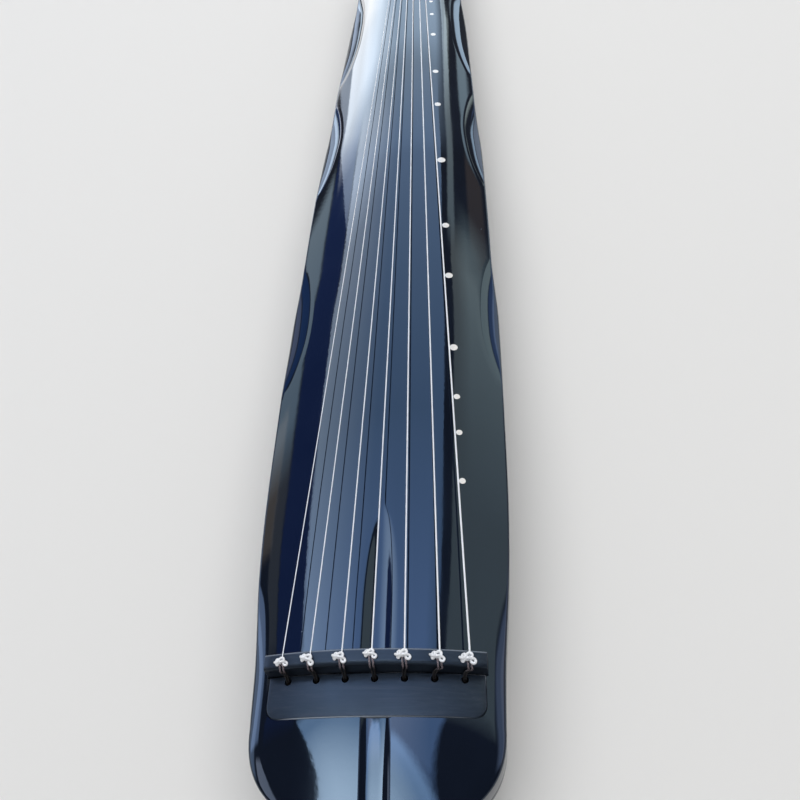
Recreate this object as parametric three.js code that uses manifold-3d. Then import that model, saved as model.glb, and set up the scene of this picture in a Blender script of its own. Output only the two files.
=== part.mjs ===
// Seven-string guqin in the banana-leaf style, standing on its goose feet and peg guards.
// Millimetres. +Y runs from the head to the tail, +X to the side of the studs, +Z up.
// Places along the body are first measured from the bridge edge where the strings start to sound.
import * as THREE from "three";
import { mergeVertices } from "three/addons/utils/BufferGeometryUtils.js";
import Module from "manifold-3d";

const wasm = await Module();
wasm.setup();

// Driving dimensions of the body
const stringLength = 1120;
const headLength = 104;
const headArcLength = 62;
const tailLength = 14;
const tailCorner = 12;
const bodyHalfWidth = 98;
const standHeight = 30;
const bodyThickness = 51;
const bottomThickness = 11;
const archDrop = 12;
const edgeRound = 1.4;
const bottomEdgeRound = 3;
const headArcPower = 2.4;
const archPower = 2.2;

// Clearances and the overrun of every cut
const seatGap = 0.3;
const glueGap = 0.2;
const overrun = 4;

// Outline, crown and arch along the body: share of the string length, then share of the size they follow
const outlineShares = [
  [-0.0375, 0.871], [0, 0.893], [0.054, 0.947], [0.107, 0.978], [0.18, 0.991], [0.282, 1],
  [0.305, 0.995], [0.329, 0.98], [0.355, 0.966], [0.41, 0.96], [0.47, 0.949], [0.503, 0.942],
  [0.5375, 0.93], [0.571, 0.905], [0.6125, 0.882], [0.653, 0.867], [0.696, 0.852], [0.739, 0.838],
  [0.786, 0.817], [0.82, 0.79], [0.844, 0.77], [0.93, 0.735], [1, 0.712], [1.0125, 0.708],
];
const crownShares = [
  [-0.093, 0.7], [-0.0375, 0.935], [0, 0.965], [0.09, 0.975], [0.27, 0.965], [0.5, 0.935],
  [0.75, 0.905], [0.9, 0.875], [1, 0.835], [1.0125, 0.825],
];
const archShares = [
  [-0.093, 0.4], [-0.0375, 0.86], [0, 0.95], [0.27, 1], [0.5, 1], [0.75, 0.92], [1, 0.68],
  [1.0125, 0.66],
];

// Long facets cut into the leaf edge: place along the strings, half length, width, and how steeply they
// start and curve away from the face
const facetPlaceShares = [0.2875, 0.546, 0.777];
const facetHalfLengths = [84, 95, 130];
const facetWidths = [18, 18, 20];
const facetStartSlope = 0.12;
const facetRadius = 55;

// Facet round the head, fading out past the bridge
const headFacetWidth = 8;
const headFacetReach = 66;
const headFacetStartSlope = 0.22;
const headFacetRadius = 36;
const headFacetFadePower = 4;

// Midrib groove of the leaf
const grooveHalfWidth = 11.4;
const grooveDepth = 2.8;
const grooveReach = 114;
const grooveNose = 80;
const grooveNosePower = 0.4;
const grooveFloorPower = 4;

// Sound cavity
const cavityStart = 34;
const cavityEndMargin = 84;
const wallThickness = 16;
const boardThickness = 11;

// Bridge and the strip with the string holes
const bridgeHalfLength = 75;
const bridgeDepth = 10.5;
const bridgeHeight = 16;
const bridgeArch = 10;
const bridgeTopDepth = 7.5;
const bridgeRound = 0.9;
const inlayDepth = 3;
const stripHalfLength = 73.5;
const stripFront = 39;
const stripProud = 0.9;
const stripCorner = 9;
const holePlace = 14.8;
const holePitch = 19.9;
const holeRadius = 2.5;

// Strings, first string beside the studs
const stringCount = 7;
const stringDiameters = [1.4, 1.25, 1.15, 1.05, 0.95, 0.85, 0.75];
const bridgePitch = 21;
const bridgeShifts = [0.7, 2.2, 0.3, -0.3, 0.7, 0, 1.2];
const nutPitch = 6.2;
const knotLength = 11.5;
const knotDepth = 7;
const knotHeight = 5;
const knotPlace = 4.2;

// Loop cords and pegs
const cordDiameter = 2.8;
const pegTopRadius = 5.4;
const pegNeckRadius = 4.1;
const pegBodyRadius = 6.9;
const pegWaistRadius = 5.7;
const pegFootRadius = 6.3;
const pegBoreRadius = 2;
const pegBoreDepth = 15;
const pegCollar = 2.6;
const pegNeckLength = 8.5;
const pegFloorGap = 2.5;
const wrapTurns = 2;
const wrapDiameter = 1.7;
const wrapGap = 0.6;

// Peg pool and its guards
const poolDepth = 20;
const poolHalfDepth = 13;
const poolEndRoom = 5;
const plateThickness = 3;
const plateLedge = 1.5;
const guardThickness = 11;
const guardLength = 38;
const guardFootLength = 30;
const guardTenonHeight = 7;

// Studs, from the one nearest the head: places as harmonic shares, and diameters
const studShares = [
  1 / 8, 1 / 6, 1 / 5, 1 / 4, 1 / 3, 2 / 5, 1 / 2,
  3 / 5, 2 / 3, 3 / 4, 4 / 5, 5 / 6, 7 / 8,
];
const studDiameters = [5.3, 5.3, 5.5, 7.2, 7.3, 7.3, 9, 7.4, 7.3, 7, 5.5, 5.3, 5.2];
const studHeadPlace = 66;
const studTailPlace = 26.7;
const studThickness = 1;
const studProud = 0.1;

// Nuts and crown plates at the tail
const nutHalfLength = 24;
const nutHeight = 3;
const nutDepthInBoard = 5;
const nutRound = 8;
const lowerNutDepth = 16;
const lowerNutThickness = 8;
const lowerNutDrop = 1;
const lowerNutRound = 5;
const crownLength = 78;
const crownPlateHeight = 2.4;
const crownOuterMargin = 9;
const crownSweep = 26;

// Goose feet
const footPlaceShare = 0.69;
const footHalfSpacing = 46;
const footNeckRadius = 8.5;
const footFlangeRadius = 13;
const footFlange = 3.5;
const footBaseRadius = 14;
const footBase = 3;
const tenonRadius = 8;
const tenonLength = 9;
const windingTurns = 1.75;
const studSideStrings = 4;

// Sound holes and posts
const dragonPlaceShare = 0.375;
const dragonLength = 200;
const phoenixPlaceShare = 0.82;
const phoenixLength = 100;
const soundHoleHalfWidth = 13;
const heavenPlaceShare = 0.225;
const heavenRadius = 8;
const earthPlaceShare = 0.555;
const earthHalfWidth = 8;

const tailEnd = stringLength + tailLength;
const underside = standHeight;
const seam = underside + bottomThickness;
const headArcStart = headArcLength - headLength;

// Reads a table of [place, value] pairs with a smooth curve through its points.
function smoothAt(table, place) {
  const last = table.length - 1;
  const slope = (i) => {
    const before = table[Math.max(i - 1, 0)];
    const after = table[Math.min(i + 1, last)];
    return (after[1] - before[1]) / (after[0] - before[0]);
  };
  let i = 0;
  while (i < last - 1 && place > table[i + 1][0]) i += 1;
  const span = table[i + 1][0] - table[i][0];
  const t = THREE.MathUtils.clamp((place - table[i][0]) / span, 0, 1);
  const start = table[i][1] * (1 + 2 * t) * (1 - t) ** 2 + slope(i) * span * t * (1 - t) ** 2;
  const end = table[i + 1][1] * t * t * (3 - 2 * t) - slope(i + 1) * span * t * t * (1 - t);
  return start + end;
}

// Half the body's width at a place along it, with the round head and the tail's corners.
function halfWidth(y) {
  const plain = bodyHalfWidth * smoothAt(outlineShares, Math.max(y, headArcStart) / stringLength);
  if (y < headArcStart) {
    const t = Math.min((headArcStart - y) / headArcLength, 1);
    return plain * (1 - t ** headArcPower) ** (1 / headArcPower);
  }
  const past = Math.max(y - (tailEnd - tailCorner), 0) / tailCorner;
  return plain - tailCorner * (1 - Math.sqrt(1 - Math.min(past, 1) ** 2));
}

const crownAt = (y) => underside + bodyThickness * smoothAt(crownShares, y / stringLength);
const archAt = (y) => archDrop * smoothAt(archShares, y / stringLength);

// The width that the arch spreads over: the head keeps the arch of its start as it narrows.
function archWidth(y) {
  return bodyHalfWidth * smoothAt(outlineShares, Math.max(y, headArcStart) / stringLength);
}

// Height of the arched face, without the groove and the cut edge.
function surfaceAt(x, y) {
  return crownAt(y) - archAt(y) * Math.min(Math.abs(x) / archWidth(y), 1) ** archPower;
}

// The facet at the body's edge at a place: its width, the slope it starts with and its curve.
function facetAt(y) {
  const left = THREE.MathUtils.clamp(1 - y / headFacetReach, 0, 1);
  let width = headFacetWidth * (1 - (1 - left) ** headFacetFadePower);
  let slope = headFacetStartSlope * left;
  let radius = headFacetRadius;
  facetPlaceShares.forEach((share, i) => {
    const t = (y - share * stringLength) / facetHalfLengths[i];
    if (Math.abs(t) >= 1) return;
    width = facetWidths[i] * (1 - t * t);
    slope = facetStartSlope;
    radius = facetRadius;
  });
  return { width, slope, radius };
}

// How far a place on the face is from the outline, round the head too.
function edgeDistance(x, y) {
  const share = Math.min(Math.abs(x) / archWidth(headArcStart), 1);
  const nose = headArcStart - headArcLength * (1 - share ** headArcPower) ** (1 / headArcPower);
  const beside = Math.max(halfWidth(y) - Math.abs(x), 0);
  const ahead = Math.max(y - nose, 0);
  return beside + ahead === 0 ? 0 : (beside * ahead) / Math.hypot(beside, ahead);
}

// How far the face drops towards the outline: the facet and the small round of the edge.
function edgeDropAt(x, y) {
  const { width, slope, radius } = facetAt(y);
  const distance = edgeDistance(x, y);
  const cut = Math.max(width - distance, 0);
  const round = Math.max(edgeRound - distance, 0);
  return slope * cut + cut ** 2 / (2 * radius) + edgeRound - Math.sqrt(edgeRound ** 2 - round ** 2);
}

// Half the groove's width, and its depth: full on the head, closing in a round nose on the board.
function grooveAt(y) {
  const left = THREE.MathUtils.clamp((grooveReach - y) / grooveNose, 0, 1);
  const share = (1 - (1 - left) ** 2) ** grooveNosePower;
  return { half: grooveHalfWidth * share, depth: grooveDepth * share };
}

// Turns a three.js geometry into a manifold solid.
function toSolid(geometry) {
  const bare = geometry.clone();
  bare.deleteAttribute("normal");
  bare.deleteAttribute("uv");
  const merged = mergeVertices(bare);
  return new wasm.Manifold(
    new wasm.Mesh({
      numProp: 3,
      vertProperties: new Float32Array(merged.attributes.position.array),
      triVerts: new Uint32Array(merged.index.array),
    }),
  );
}

// Turns a manifold solid back into a three.js geometry with flat faces.
function toGeometry(solid) {
  const mesh = solid.getMesh();
  const geometry = new THREE.BufferGeometry();
  const places = new Float32Array((mesh.vertProperties.length / mesh.numProp) * 3);
  for (let i = 0; i < places.length / 3; i += 1) {
    for (let k = 0; k < 3; k += 1) places[3 * i + k] = mesh.vertProperties[mesh.numProp * i + k];
  }
  geometry.setAttribute("position", new THREE.BufferAttribute(places, 3));
  geometry.setIndex(Array.from(mesh.triVerts));
  const flat = geometry.toNonIndexed();
  flat.computeVertexNormals();
  return flat;
}

// Skins a row of closed rings with the same number of points and closes both ends.
function loft(rings, flatten) {
  const sides = rings[0].length;
  const places = [];
  const faces = [];
  for (const ring of rings) {
    for (const point of ring) places.push(point.x, point.y, point.z);
  }
  for (let i = 0; i + 1 < rings.length; i += 1) {
    for (let k = 0; k < sides; k += 1) {
      const a = i * sides + k;
      const b = i * sides + ((k + 1) % sides);
      faces.push(a, b, b + sides, a, b + sides, a + sides);
    }
  }
  const lastStart = (rings.length - 1) * sides;
  const firstCap = THREE.ShapeUtils.triangulateShape(rings[0].map(flatten), []);
  const lastCap = THREE.ShapeUtils.triangulateShape(rings[rings.length - 1].map(flatten), []);
  const turned = Math.sign(THREE.ShapeUtils.area(rings[0].map(flatten)));
  const sameWay = (cap) => (turned > 0 ? cap : [cap[0], cap[2], cap[1]]);
  for (const cap of firstCap) {
    const [a, b, c] = sameWay(cap);
    faces.push(a, c, b);
  }
  for (const cap of lastCap) {
    const [a, b, c] = sameWay(cap);
    faces.push(lastStart + a, lastStart + b, lastStart + c);
  }
  const geometry = new THREE.BufferGeometry();
  geometry.setAttribute("position", new THREE.Float32BufferAttribute(places, 3));
  geometry.setIndex(faces);
  const flat = geometry.toNonIndexed();
  flat.computeVertexNormals();
  return flat;
}

// Turns a geometry's faces round where its rings ran the other way.
function facingOut(geometry) {
  const place = geometry.attributes.position;
  const [a, b, c] = [new THREE.Vector3(), new THREE.Vector3(), new THREE.Vector3()];
  let volume = 0;
  for (let i = 0; i < place.count; i += 3) {
    a.fromBufferAttribute(place, i);
    b.fromBufferAttribute(place, i + 1);
    c.fromBufferAttribute(place, i + 2);
    volume += a.dot(b.cross(c));
  }
  if (volume > 0) return geometry;
  const array = place.array;
  for (let i = 0; i < array.length; i += 9) {
    for (let k = 0; k < 3; k += 1) {
      [array[i + 3 + k], array[i + 6 + k]] = [array[i + 6 + k], array[i + 3 + k]];
    }
  }
  geometry.computeVertexNormals();
  return geometry;
}

const inXZ = (point) => new THREE.Vector2(point.x, point.z);
const inYZ = (point) => new THREE.Vector2(point.y, point.z);

// Sweeps a round section along a list of points, with closed ends.
function tube(points, radius, sides) {
  const rings = [];
  const normal = new THREE.Vector3(0, 0, 1);
  const along = (i) => {
    const before = points[Math.max(i - 1, 0)];
    const after = points[Math.min(i + 1, points.length - 1)];
    const back = points[i].clone().sub(before).normalize();
    return back.add(after.clone().sub(points[i]).normalize()).normalize();
  };
  if (Math.abs(along(0).z) > 0.9) normal.set(1, 0, 0);
  const flats = [];
  for (let i = 0; i < points.length; i += 1) {
    const tangent = along(i);
    normal.addScaledVector(tangent, -normal.dot(tangent)).normalize();
    const side = tangent.clone().cross(normal);
    flats.push([normal.clone(), side]);
    const ring = [];
    for (let k = 0; k < sides; k += 1) {
      const angle = (2 * Math.PI * (k + 0.5)) / sides;
      const offset = normal.clone().multiplyScalar(Math.cos(angle) * radius);
      offset.addScaledVector(side, Math.sin(angle) * radius);
      ring.push(points[i].clone().add(offset));
    }
    rings.push(ring);
  }
  const [first] = flats;
  const unroll = (point) => new THREE.Vector2(point.dot(first[0]), point.dot(first[1]));
  const last = flats[flats.length - 1];
  const unrollLast = (point) => new THREE.Vector2(point.dot(last[0]), point.dot(last[1]));
  return facingOut(capped(rings, unroll, unrollLast));
}

// Skins rings whose two ends lie in planes of their own.
function capped(rings, flattenFirst, flattenLast) {
  const body = rings.length - 1;
  return loft(rings, (point) => {
    const inLast = rings[body].includes(point);
    return inLast ? flattenLast(point) : flattenFirst(point);
  });
}

// The places of the body's cross-sections: close together where its form changes.
function stations() {
  const head = [];
  const arcSteps = 7;
  for (let i = 0; i < arcSteps; i += 1) {
    const angle = ((arcSteps - i - 0.4) / arcSteps) * (Math.PI / 2);
    head.push(headArcStart - headArcLength * Math.sin(angle) ** (2 / headArcPower));
  }
  const places = outlineShares.map(([share]) => share * stringLength);
  facetPlaceShares.forEach((share, i) => {
    for (let k = -3; k <= 3; k += 1) places.push(share * stringLength + (k / 3) * facetHalfLengths[i]);
  });
  for (const share of [0.5, 0.8, 1]) places.push(share * grooveReach);
  places.sort((a, b) => a - b);
  const tail = [1, 0.6, 0.2, 0].map((share) => tailEnd - tailCorner * share);
  const closest = bodyThickness / 6;
  const body = [];
  for (const place of places) {
    const before = body.length === 0 ? head[head.length - 1] : body[body.length - 1];
    if (place - before > closest && tail[0] - place > closest) body.push(place);
  }
  return [...head, ...body, ...tail];
}

// One ring of the top board: the seam, the walls, the edges with their facets, the arch and the groove.
function topRing(y) {
  const half = halfWidth(y);
  const zone = Math.min(Math.max(facetAt(y).width, 2 * edgeRound), half / 2);
  const round = Math.min(edgeRound, zone / 2);
  const groove = grooveAt(y);
  const grooveHalf = Math.min(Math.max(groove.half, half / 60), half / 3);
  const inner = half - zone;
  const heightAt = (x) => {
    const dip = groove.depth * Math.max(1 - (x / grooveHalf) ** grooveFloorPower, 0);
    return surfaceAt(x, y) - edgeDropAt(x, y) - dip;
  };
  const places = [half, half - round * 0.3, half - round, inner + (zone - round) / 2, inner];
  for (const share of [0.8, 0.6, 0.4, 0.2, 0]) places.push(grooveHalf + (inner - grooveHalf) * share);
  places.push(grooveHalf * 0.7);
  const ring = [new THREE.Vector3(-half, y, seam)];
  for (const x of places) ring.push(new THREE.Vector3(-x, y, heightAt(x)));
  ring.push(new THREE.Vector3(0, y, heightAt(0)));
  for (const x of places.toReversed()) ring.push(new THREE.Vector3(x, y, heightAt(x)));
  ring.push(new THREE.Vector3(half, y, seam));
  return ring;
}

const cavityEnd = () => tailEnd - cavityEndMargin;
const ceilingAt = (x, y) => surfaceAt(x, y) - boardThickness;

// The space hollowed out of the top board.
function cavitySolid() {
  const steps = 16;
  const rings = [];
  for (let i = 0; i <= steps; i += 1) {
    const y = THREE.MathUtils.lerp(cavityStart, cavityEnd(), i / steps);
    const half = halfWidth(y) - wallThickness;
    const ring = [new THREE.Vector3(-half, y, seam - overrun)];
    for (const share of [-1, -0.7, -0.4, 0, 0.4, 0.7, 1]) {
      ring.push(new THREE.Vector3(half * share, y, ceilingAt(half * share, y)));
    }
    ring.push(new THREE.Vector3(half, y, seam - overrun));
    rings.push(ring);
  }
  return toSolid(facingOut(loft(rings, inXZ)));
}

// A flat shape with round corners, from its centre, half sizes and corner radius.
function roundedShape(halfX, halfY, corner) {
  const shape = new THREE.Shape();
  const r = Math.min(corner, halfX, halfY);
  shape.moveTo(halfX - r, -halfY);
  shape.absarc(halfX - r, -halfY + r, r, -Math.PI / 2, 0, false);
  shape.absarc(halfX - r, halfY - r, r, 0, Math.PI / 2, false);
  shape.absarc(-halfX + r, halfY - r, r, Math.PI / 2, Math.PI, false);
  shape.absarc(-halfX + r, -halfY + r, r, Math.PI, 1.5 * Math.PI, false);
  return shape;
}

// An upright prism of a flat shape, between two heights.
function prism(shape, x, y, low, high, curveSegments = 5) {
  const geometry = new THREE.ExtrudeGeometry(shape, {
    depth: high - low,
    bevelEnabled: false,
    curveSegments,
  });
  return geometry.translate(x, y, low);
}

// An upright round bar between two heights.
function bar(radius, x, y, low, high, segments = 16) {
  const geometry = new THREE.CylinderGeometry(radius, radius, high - low, segments);
  return geometry.rotateX(Math.PI / 2).translate(x, y, (low + high) / 2);
}

// Place across the body of the n-th string, counted from the stud side, for a given pitch.
const across = (n, pitch) => ((stringCount + 1) / 2 - n) * pitch;
const stringNumbers = Array.from({ length: stringCount }, (_, i) => i + 1);

const inlayFloor = () => surfaceAt(stripHalfLength, -stripFront) - inlayDepth;
const poolRoof = underside + poolDepth;
const plateBottom = poolRoof + seatGap;
const plateTop = plateBottom + plateThickness;
const poolHalfLength = across(1, holePitch) + pegBodyRadius + poolEndRoom;

// The pocket that the bridge and the strip sit in.
function fittingPocket() {
  const strip = stripShape(seatGap);
  const low = inlayFloor() - seatGap;
  const high = underside + bodyThickness + overrun;
  const front = toSolid(prism(strip, 0, 0, low, high));
  const halfX = bridgeHalfLength + seatGap;
  const halfY = bridgeDepth / 2 + seatGap;
  const back = prism(roundedShape(halfX, halfY, 0), 0, -bridgeDepth / 2, low, high);
  return front.add(toSolid(back));
}

// Plan of the string-hole strip: square against the bridge, round at the front corners.
function stripShape(grow) {
  const half = stripHalfLength + grow;
  const front = -stripFront - grow;
  const back = -bridgeDepth - seatGap + grow;
  const shape = new THREE.Shape();
  shape.moveTo(half, back);
  shape.lineTo(-half, back);
  shape.absarc(-half + stripCorner, front + stripCorner, stripCorner, Math.PI, 1.5 * Math.PI, false);
  shape.absarc(half - stripCorner, front + stripCorner, stripCorner, -Math.PI / 2, 0, false);
  return shape;
}

// Where a stud sits on the arched face, and the way that face looks there.
function studPlace(index) {
  const share = studShares[index];
  const x = THREE.MathUtils.lerp(studHeadPlace, studTailPlace, share);
  const y = share * stringLength;
  const step = studDiameters[index] / 4;
  const slope = (surfaceAt(x + step, y) - surfaceAt(x - step, y)) / (2 * step);
  const away = new THREE.Vector3(-slope, 0, 1).normalize();
  return { centre: new THREE.Vector3(x, y, surfaceAt(x, y)), away };
}

// A disc lying on the arched face at a stud's place, between two depths under the face.
function studDisc(index, radius, top, depth, segments) {
  const { centre, away } = studPlace(index);
  const disc = new THREE.CylinderGeometry(radius, radius, depth, segments);
  disc.rotateX(Math.PI / 2).translate(0, 0, top - depth / 2);
  const turn = new THREE.Quaternion().setFromUnitVectors(new THREE.Vector3(0, 0, 1), away);
  return disc.applyQuaternion(turn).translate(centre.x, centre.y, centre.z);
}

function studPocket(index) {
  const radius = studDiameters[index] / 2 + seatGap;
  const depth = studThickness - studProud + seatGap;
  return toSolid(studDisc(index, radius, overrun, depth + overrun, 12));
}

// Nut profile in the plane of the strings: flat on top, round over the tail.
function nutProfile() {
  const top = crownAt(stringLength) + nutHeight;
  const low = crownAt(stringLength) - nutDepthInBoard;
  const points = [
    [stringLength, low],
    [stringLength, top - bridgeRound],
    [stringLength + bridgeRound, top],
  ];
  const steps = 5;
  for (let i = 0; i <= steps; i += 1) {
    const angle = (Math.PI / 2) * (1 - i / steps);
    points.push([
      tailEnd - nutRound + nutRound * Math.cos(angle),
      top - nutRound + nutRound * Math.sin(angle),
    ]);
  }
  points.push([tailEnd, low]);
  return points;
}

// Sweeps a profile of [y, z] points across the body between two places.
function acrossBody(profile, from, to) {
  const ringAt = (x) => profile.map(([y, z]) => new THREE.Vector3(x, y, z));
  return facingOut(loft([ringAt(from), ringAt(to)], inYZ));
}

function nutPocket() {
  const low = crownAt(stringLength) - nutDepthInBoard - seatGap;
  const high = underside + bodyThickness + overrun;
  const start = stringLength - seatGap;
  const end = tailEnd + overrun;
  const shape = roundedShape(nutHalfLength + seatGap, (end - start) / 2, 0);
  return toSolid(prism(shape, 0, (start + end) / 2, low, high));
}

function lowerNutPocket() {
  const start = tailEnd - lowerNutDepth - seatGap;
  const end = tailEnd + overrun;
  const shape = roundedShape(nutHalfLength + seatGap, (end - start) / 2, 0);
  const high = underside + lowerNutThickness + seatGap;
  return toSolid(prism(shape, 0, (start + end) / 2, underside - overrun, high));
}

// The peg pool above the seam, the ledge that holds its plate, and the cord holes.
function poolCuts() {
  const pool = roundedShape(poolHalfLength, poolHalfDepth, poolEndRoom);
  const seat = roundedShape(
    poolHalfLength + plateLedge + seatGap,
    poolHalfDepth + plateLedge + seatGap,
    poolEndRoom,
  );
  let cuts = toSolid(prism(pool, 0, -holePlace, seam - overrun, plateTop));
  cuts = cuts.add(toSolid(prism(seat, 0, -holePlace, seam - overrun, plateTop + seatGap)));
  for (const n of stringNumbers) {
    const hole = bar(holeRadius, across(n, holePitch), -holePlace, poolRoof, inlayFloor() + overrun, 8);
    cuts = cuts.add(toSolid(hole));
  }
  return cuts;
}

function topBoard() {
  let solid = toSolid(facingOut(loft(stations().map(topRing), inXZ)));
  solid = solid.subtract(cavitySolid());
  solid = solid.subtract(fittingPocket());
  solid = solid.subtract(poolCuts());
  solid = solid.subtract(nutPocket());
  for (let i = 0; i < studShares.length; i += 1) solid = solid.subtract(studPocket(i));
  return toGeometry(solid);
}

// One ring of the bottom board, with its lower edges rounded off.
function bottomRing(y) {
  const half = halfWidth(y);
  const cut = Math.min(bottomEdgeRound, half / 3);
  const top = seam - glueGap;
  const side = [[half - cut, underside], [half, underside + cut]];
  const ring = side.map(([x, z]) => new THREE.Vector3(x, y, z));
  ring.push(new THREE.Vector3(half, y, top));
  ring.push(new THREE.Vector3(-half, y, top));
  for (const [x, z] of side.toReversed()) ring.push(new THREE.Vector3(-x, y, z));
  return ring;
}

const footPlace = footPlaceShare * stringLength;
const guardMiddle = poolHalfLength + plateLedge + guardThickness / 2;
const guardTenonHalf = guardThickness / 4;

function bottomBoard() {
  let solid = toSolid(facingOut(loft(stations().map(bottomRing), inXZ)));
  const low = underside - overrun;
  const high = seam + overrun;
  const cut = (shape, x, y) => {
    solid = solid.subtract(toSolid(prism(shape, x, y, low, high)));
  };
  cut(roundedShape(poolHalfLength, poolHalfDepth, poolEndRoom), 0, -holePlace);
  const dragon = roundedShape(soundHoleHalfWidth, dragonLength / 2, soundHoleHalfWidth);
  cut(dragon, 0, dragonPlaceShare * stringLength);
  const phoenix = roundedShape(soundHoleHalfWidth, phoenixLength / 2, soundHoleHalfWidth);
  cut(phoenix, 0, phoenixPlaceShare * stringLength);
  for (const side of [-1, 1]) {
    const socket = bar(tenonRadius + seatGap, side * footHalfSpacing, footPlace, low, high, 24);
    solid = solid.subtract(toSolid(socket));
    const mortise = roundedShape(guardTenonHalf + seatGap, guardFootLength / 4 + seatGap, 0);
    const roof = underside + guardTenonHeight + seatGap;
    const guard = prism(mortise, side * guardMiddle, -holePlace, low, roof);
    solid = solid.subtract(toSolid(guard));
  }
  solid = solid.subtract(lowerNutPocket());
  return toGeometry(solid);
}

// Height of the bridge's top at a place across the body.
const bridgeTop = (x) => crownAt(0) + bridgeHeight - bridgeArch * (x / bridgeHalfLength) ** 2;

function bridge() {
  const steps = 16;
  const rings = [];
  const low = inlayFloor();
  for (let i = 0; i <= steps; i += 1) {
    const x = THREE.MathUtils.lerp(-bridgeHalfLength, bridgeHalfLength, i / steps);
    const top = bridgeTop(x);
    const brow = (bridgeDepth - bridgeTopDepth) / 2;
    const profile = [
      [0, low],
      [0, top - bridgeRound],
      [-bridgeRound, top],
      [-bridgeTopDepth, top - bridgeRound],
      [-bridgeTopDepth - brow, top - 3 * bridgeRound],
      [-bridgeDepth, top - bridgeHeight / 2],
      [-bridgeDepth, low],
    ];
    rings.push(profile.map(([y, z]) => new THREE.Vector3(x, y, z)));
  }
  return facingOut(loft(rings, inYZ));
}

// The strip's face follows the arch of the head, a little proud of it.
function stringHoleStrip() {
  const steps = 14;
  const rings = [];
  const deep = stripFront + overrun;
  const rows = [-deep, -stripFront / 2, 0];
  for (let i = 0; i <= steps; i += 1) {
    const x = THREE.MathUtils.lerp(-stripHalfLength - overrun, stripHalfLength + overrun, i / steps);
    const ring = rows.map((y) => new THREE.Vector3(x, y, surfaceAt(x, y) + stripProud));
    ring.push(new THREE.Vector3(x, 0, inlayFloor()));
    ring.push(new THREE.Vector3(x, -deep, inlayFloor()));
    rings.push(ring);
  }
  let solid = toSolid(facingOut(loft(rings, inYZ)));
  const high = underside + bodyThickness + overrun;
  solid = solid.intersect(toSolid(prism(stripShape(0), 0, 0, inlayFloor() - overrun, high)));
  for (const n of stringNumbers) {
    const x = across(n, holePitch);
    const hole = bar(holeRadius, x, -holePlace, inlayFloor() - overrun, high, 8);
    solid = solid.subtract(toSolid(hole));
  }
  return toGeometry(solid);
}

function pegPoolPlate() {
  const shape = roundedShape(poolHalfLength + plateLedge, poolHalfDepth + plateLedge, poolEndRoom);
  let solid = toSolid(prism(shape, 0, -holePlace, plateBottom, plateTop));
  for (const n of stringNumbers) {
    const x = across(n, holePitch);
    const hole = bar(holeRadius, x, -holePlace, plateBottom - overrun, plateTop + overrun, 8);
    solid = solid.subtract(toSolid(hole));
  }
  return toGeometry(solid);
}

const pegTop = poolRoof;
const neckTop = pegTop - pegCollar;
const neckBottom = neckTop - pegNeckLength;

// A turned peg with the cord's bore in its top.
function peg(n) {
  const bodyLength = neckBottom - pegFloorGap;
  const profile = [
    [0, pegTop - pegBoreDepth],
    [pegBoreRadius, pegTop - pegBoreDepth],
    [pegBoreRadius, pegTop],
    [pegTopRadius, pegTop],
    [pegTopRadius, neckTop],
    [pegNeckRadius, neckTop],
    [pegNeckRadius, neckBottom],
    [pegBodyRadius, neckBottom - 0.08 * bodyLength],
    [pegBodyRadius, neckBottom - 0.25 * bodyLength],
    [pegWaistRadius, neckBottom - 0.7 * bodyLength],
    [pegFootRadius, neckBottom - 0.9 * bodyLength],
    [pegWaistRadius - pegCollar / 2, pegFloorGap],
    [0, pegFloorGap],
  ];
  const outline = profile.map(([r, z]) => new THREE.Vector2(r, z));
  const geometry = new THREE.LatheGeometry(outline, 14);
  geometry.rotateX(Math.PI / 2);
  const solid = facingOut(geometry.toNonIndexed());
  return solid.translate(across(n, holePitch), -holePlace, 0);
}

// Points of a winding round an upright bar, whose corners stay clear of the bar between steps.
function helix(centre, radius, startAngle, turns, top, pitch, turnWay, steps) {
  const points = [];
  const count = Math.round(turns * steps);
  const reach = radius / Math.cos(Math.PI / steps);
  for (let i = 0; i <= count; i += 1) {
    const angle = startAngle + (turnWay * 2 * Math.PI * i) / steps;
    const x = centre.x + reach * Math.cos(angle);
    const y = centre.y + reach * Math.sin(angle);
    points.push(new THREE.Vector3(x, y, top - (pitch * i) / steps));
  }
  return points;
}

// Least gap between two stretches of one winding that lie a good part of a turn apart.
function leastGap(points, diameter, steps) {
  let least = Infinity;
  for (let i = 0; i < points.length; i += 1) {
    for (let k = i + Math.round(steps / 2); k < points.length; k += 1) {
      least = Math.min(least, points[i].distanceTo(points[k]) - diameter);
    }
  }
  return least;
}

// The end of the loop cord, wound round the peg's neck where it comes out of the bore.
function pegCord(n) {
  const steps = 10;
  const pitch = wrapDiameter + wrapGap;
  const middle = (neckTop + neckBottom) / 2;
  const top = middle + (pitch * wrapTurns) / 2;
  const centre = new THREE.Vector3(across(n, holePitch), -holePlace, 0);
  const radius = pegNeckRadius + seatGap + wrapDiameter / 2;
  const points = helix(centre, radius, 0, wrapTurns, top, pitch, 1, steps);
  return { geometry: tube(points, wrapDiameter / 2, 5), gap: leastGap(points, wrapDiameter, steps) };
}

// Where a string and its knot cross the bridge: even steps, each moved a little where it was tied.
const bridgeX = (n) => across(n, bridgePitch) + bridgeShifts[n - 1];

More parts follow.
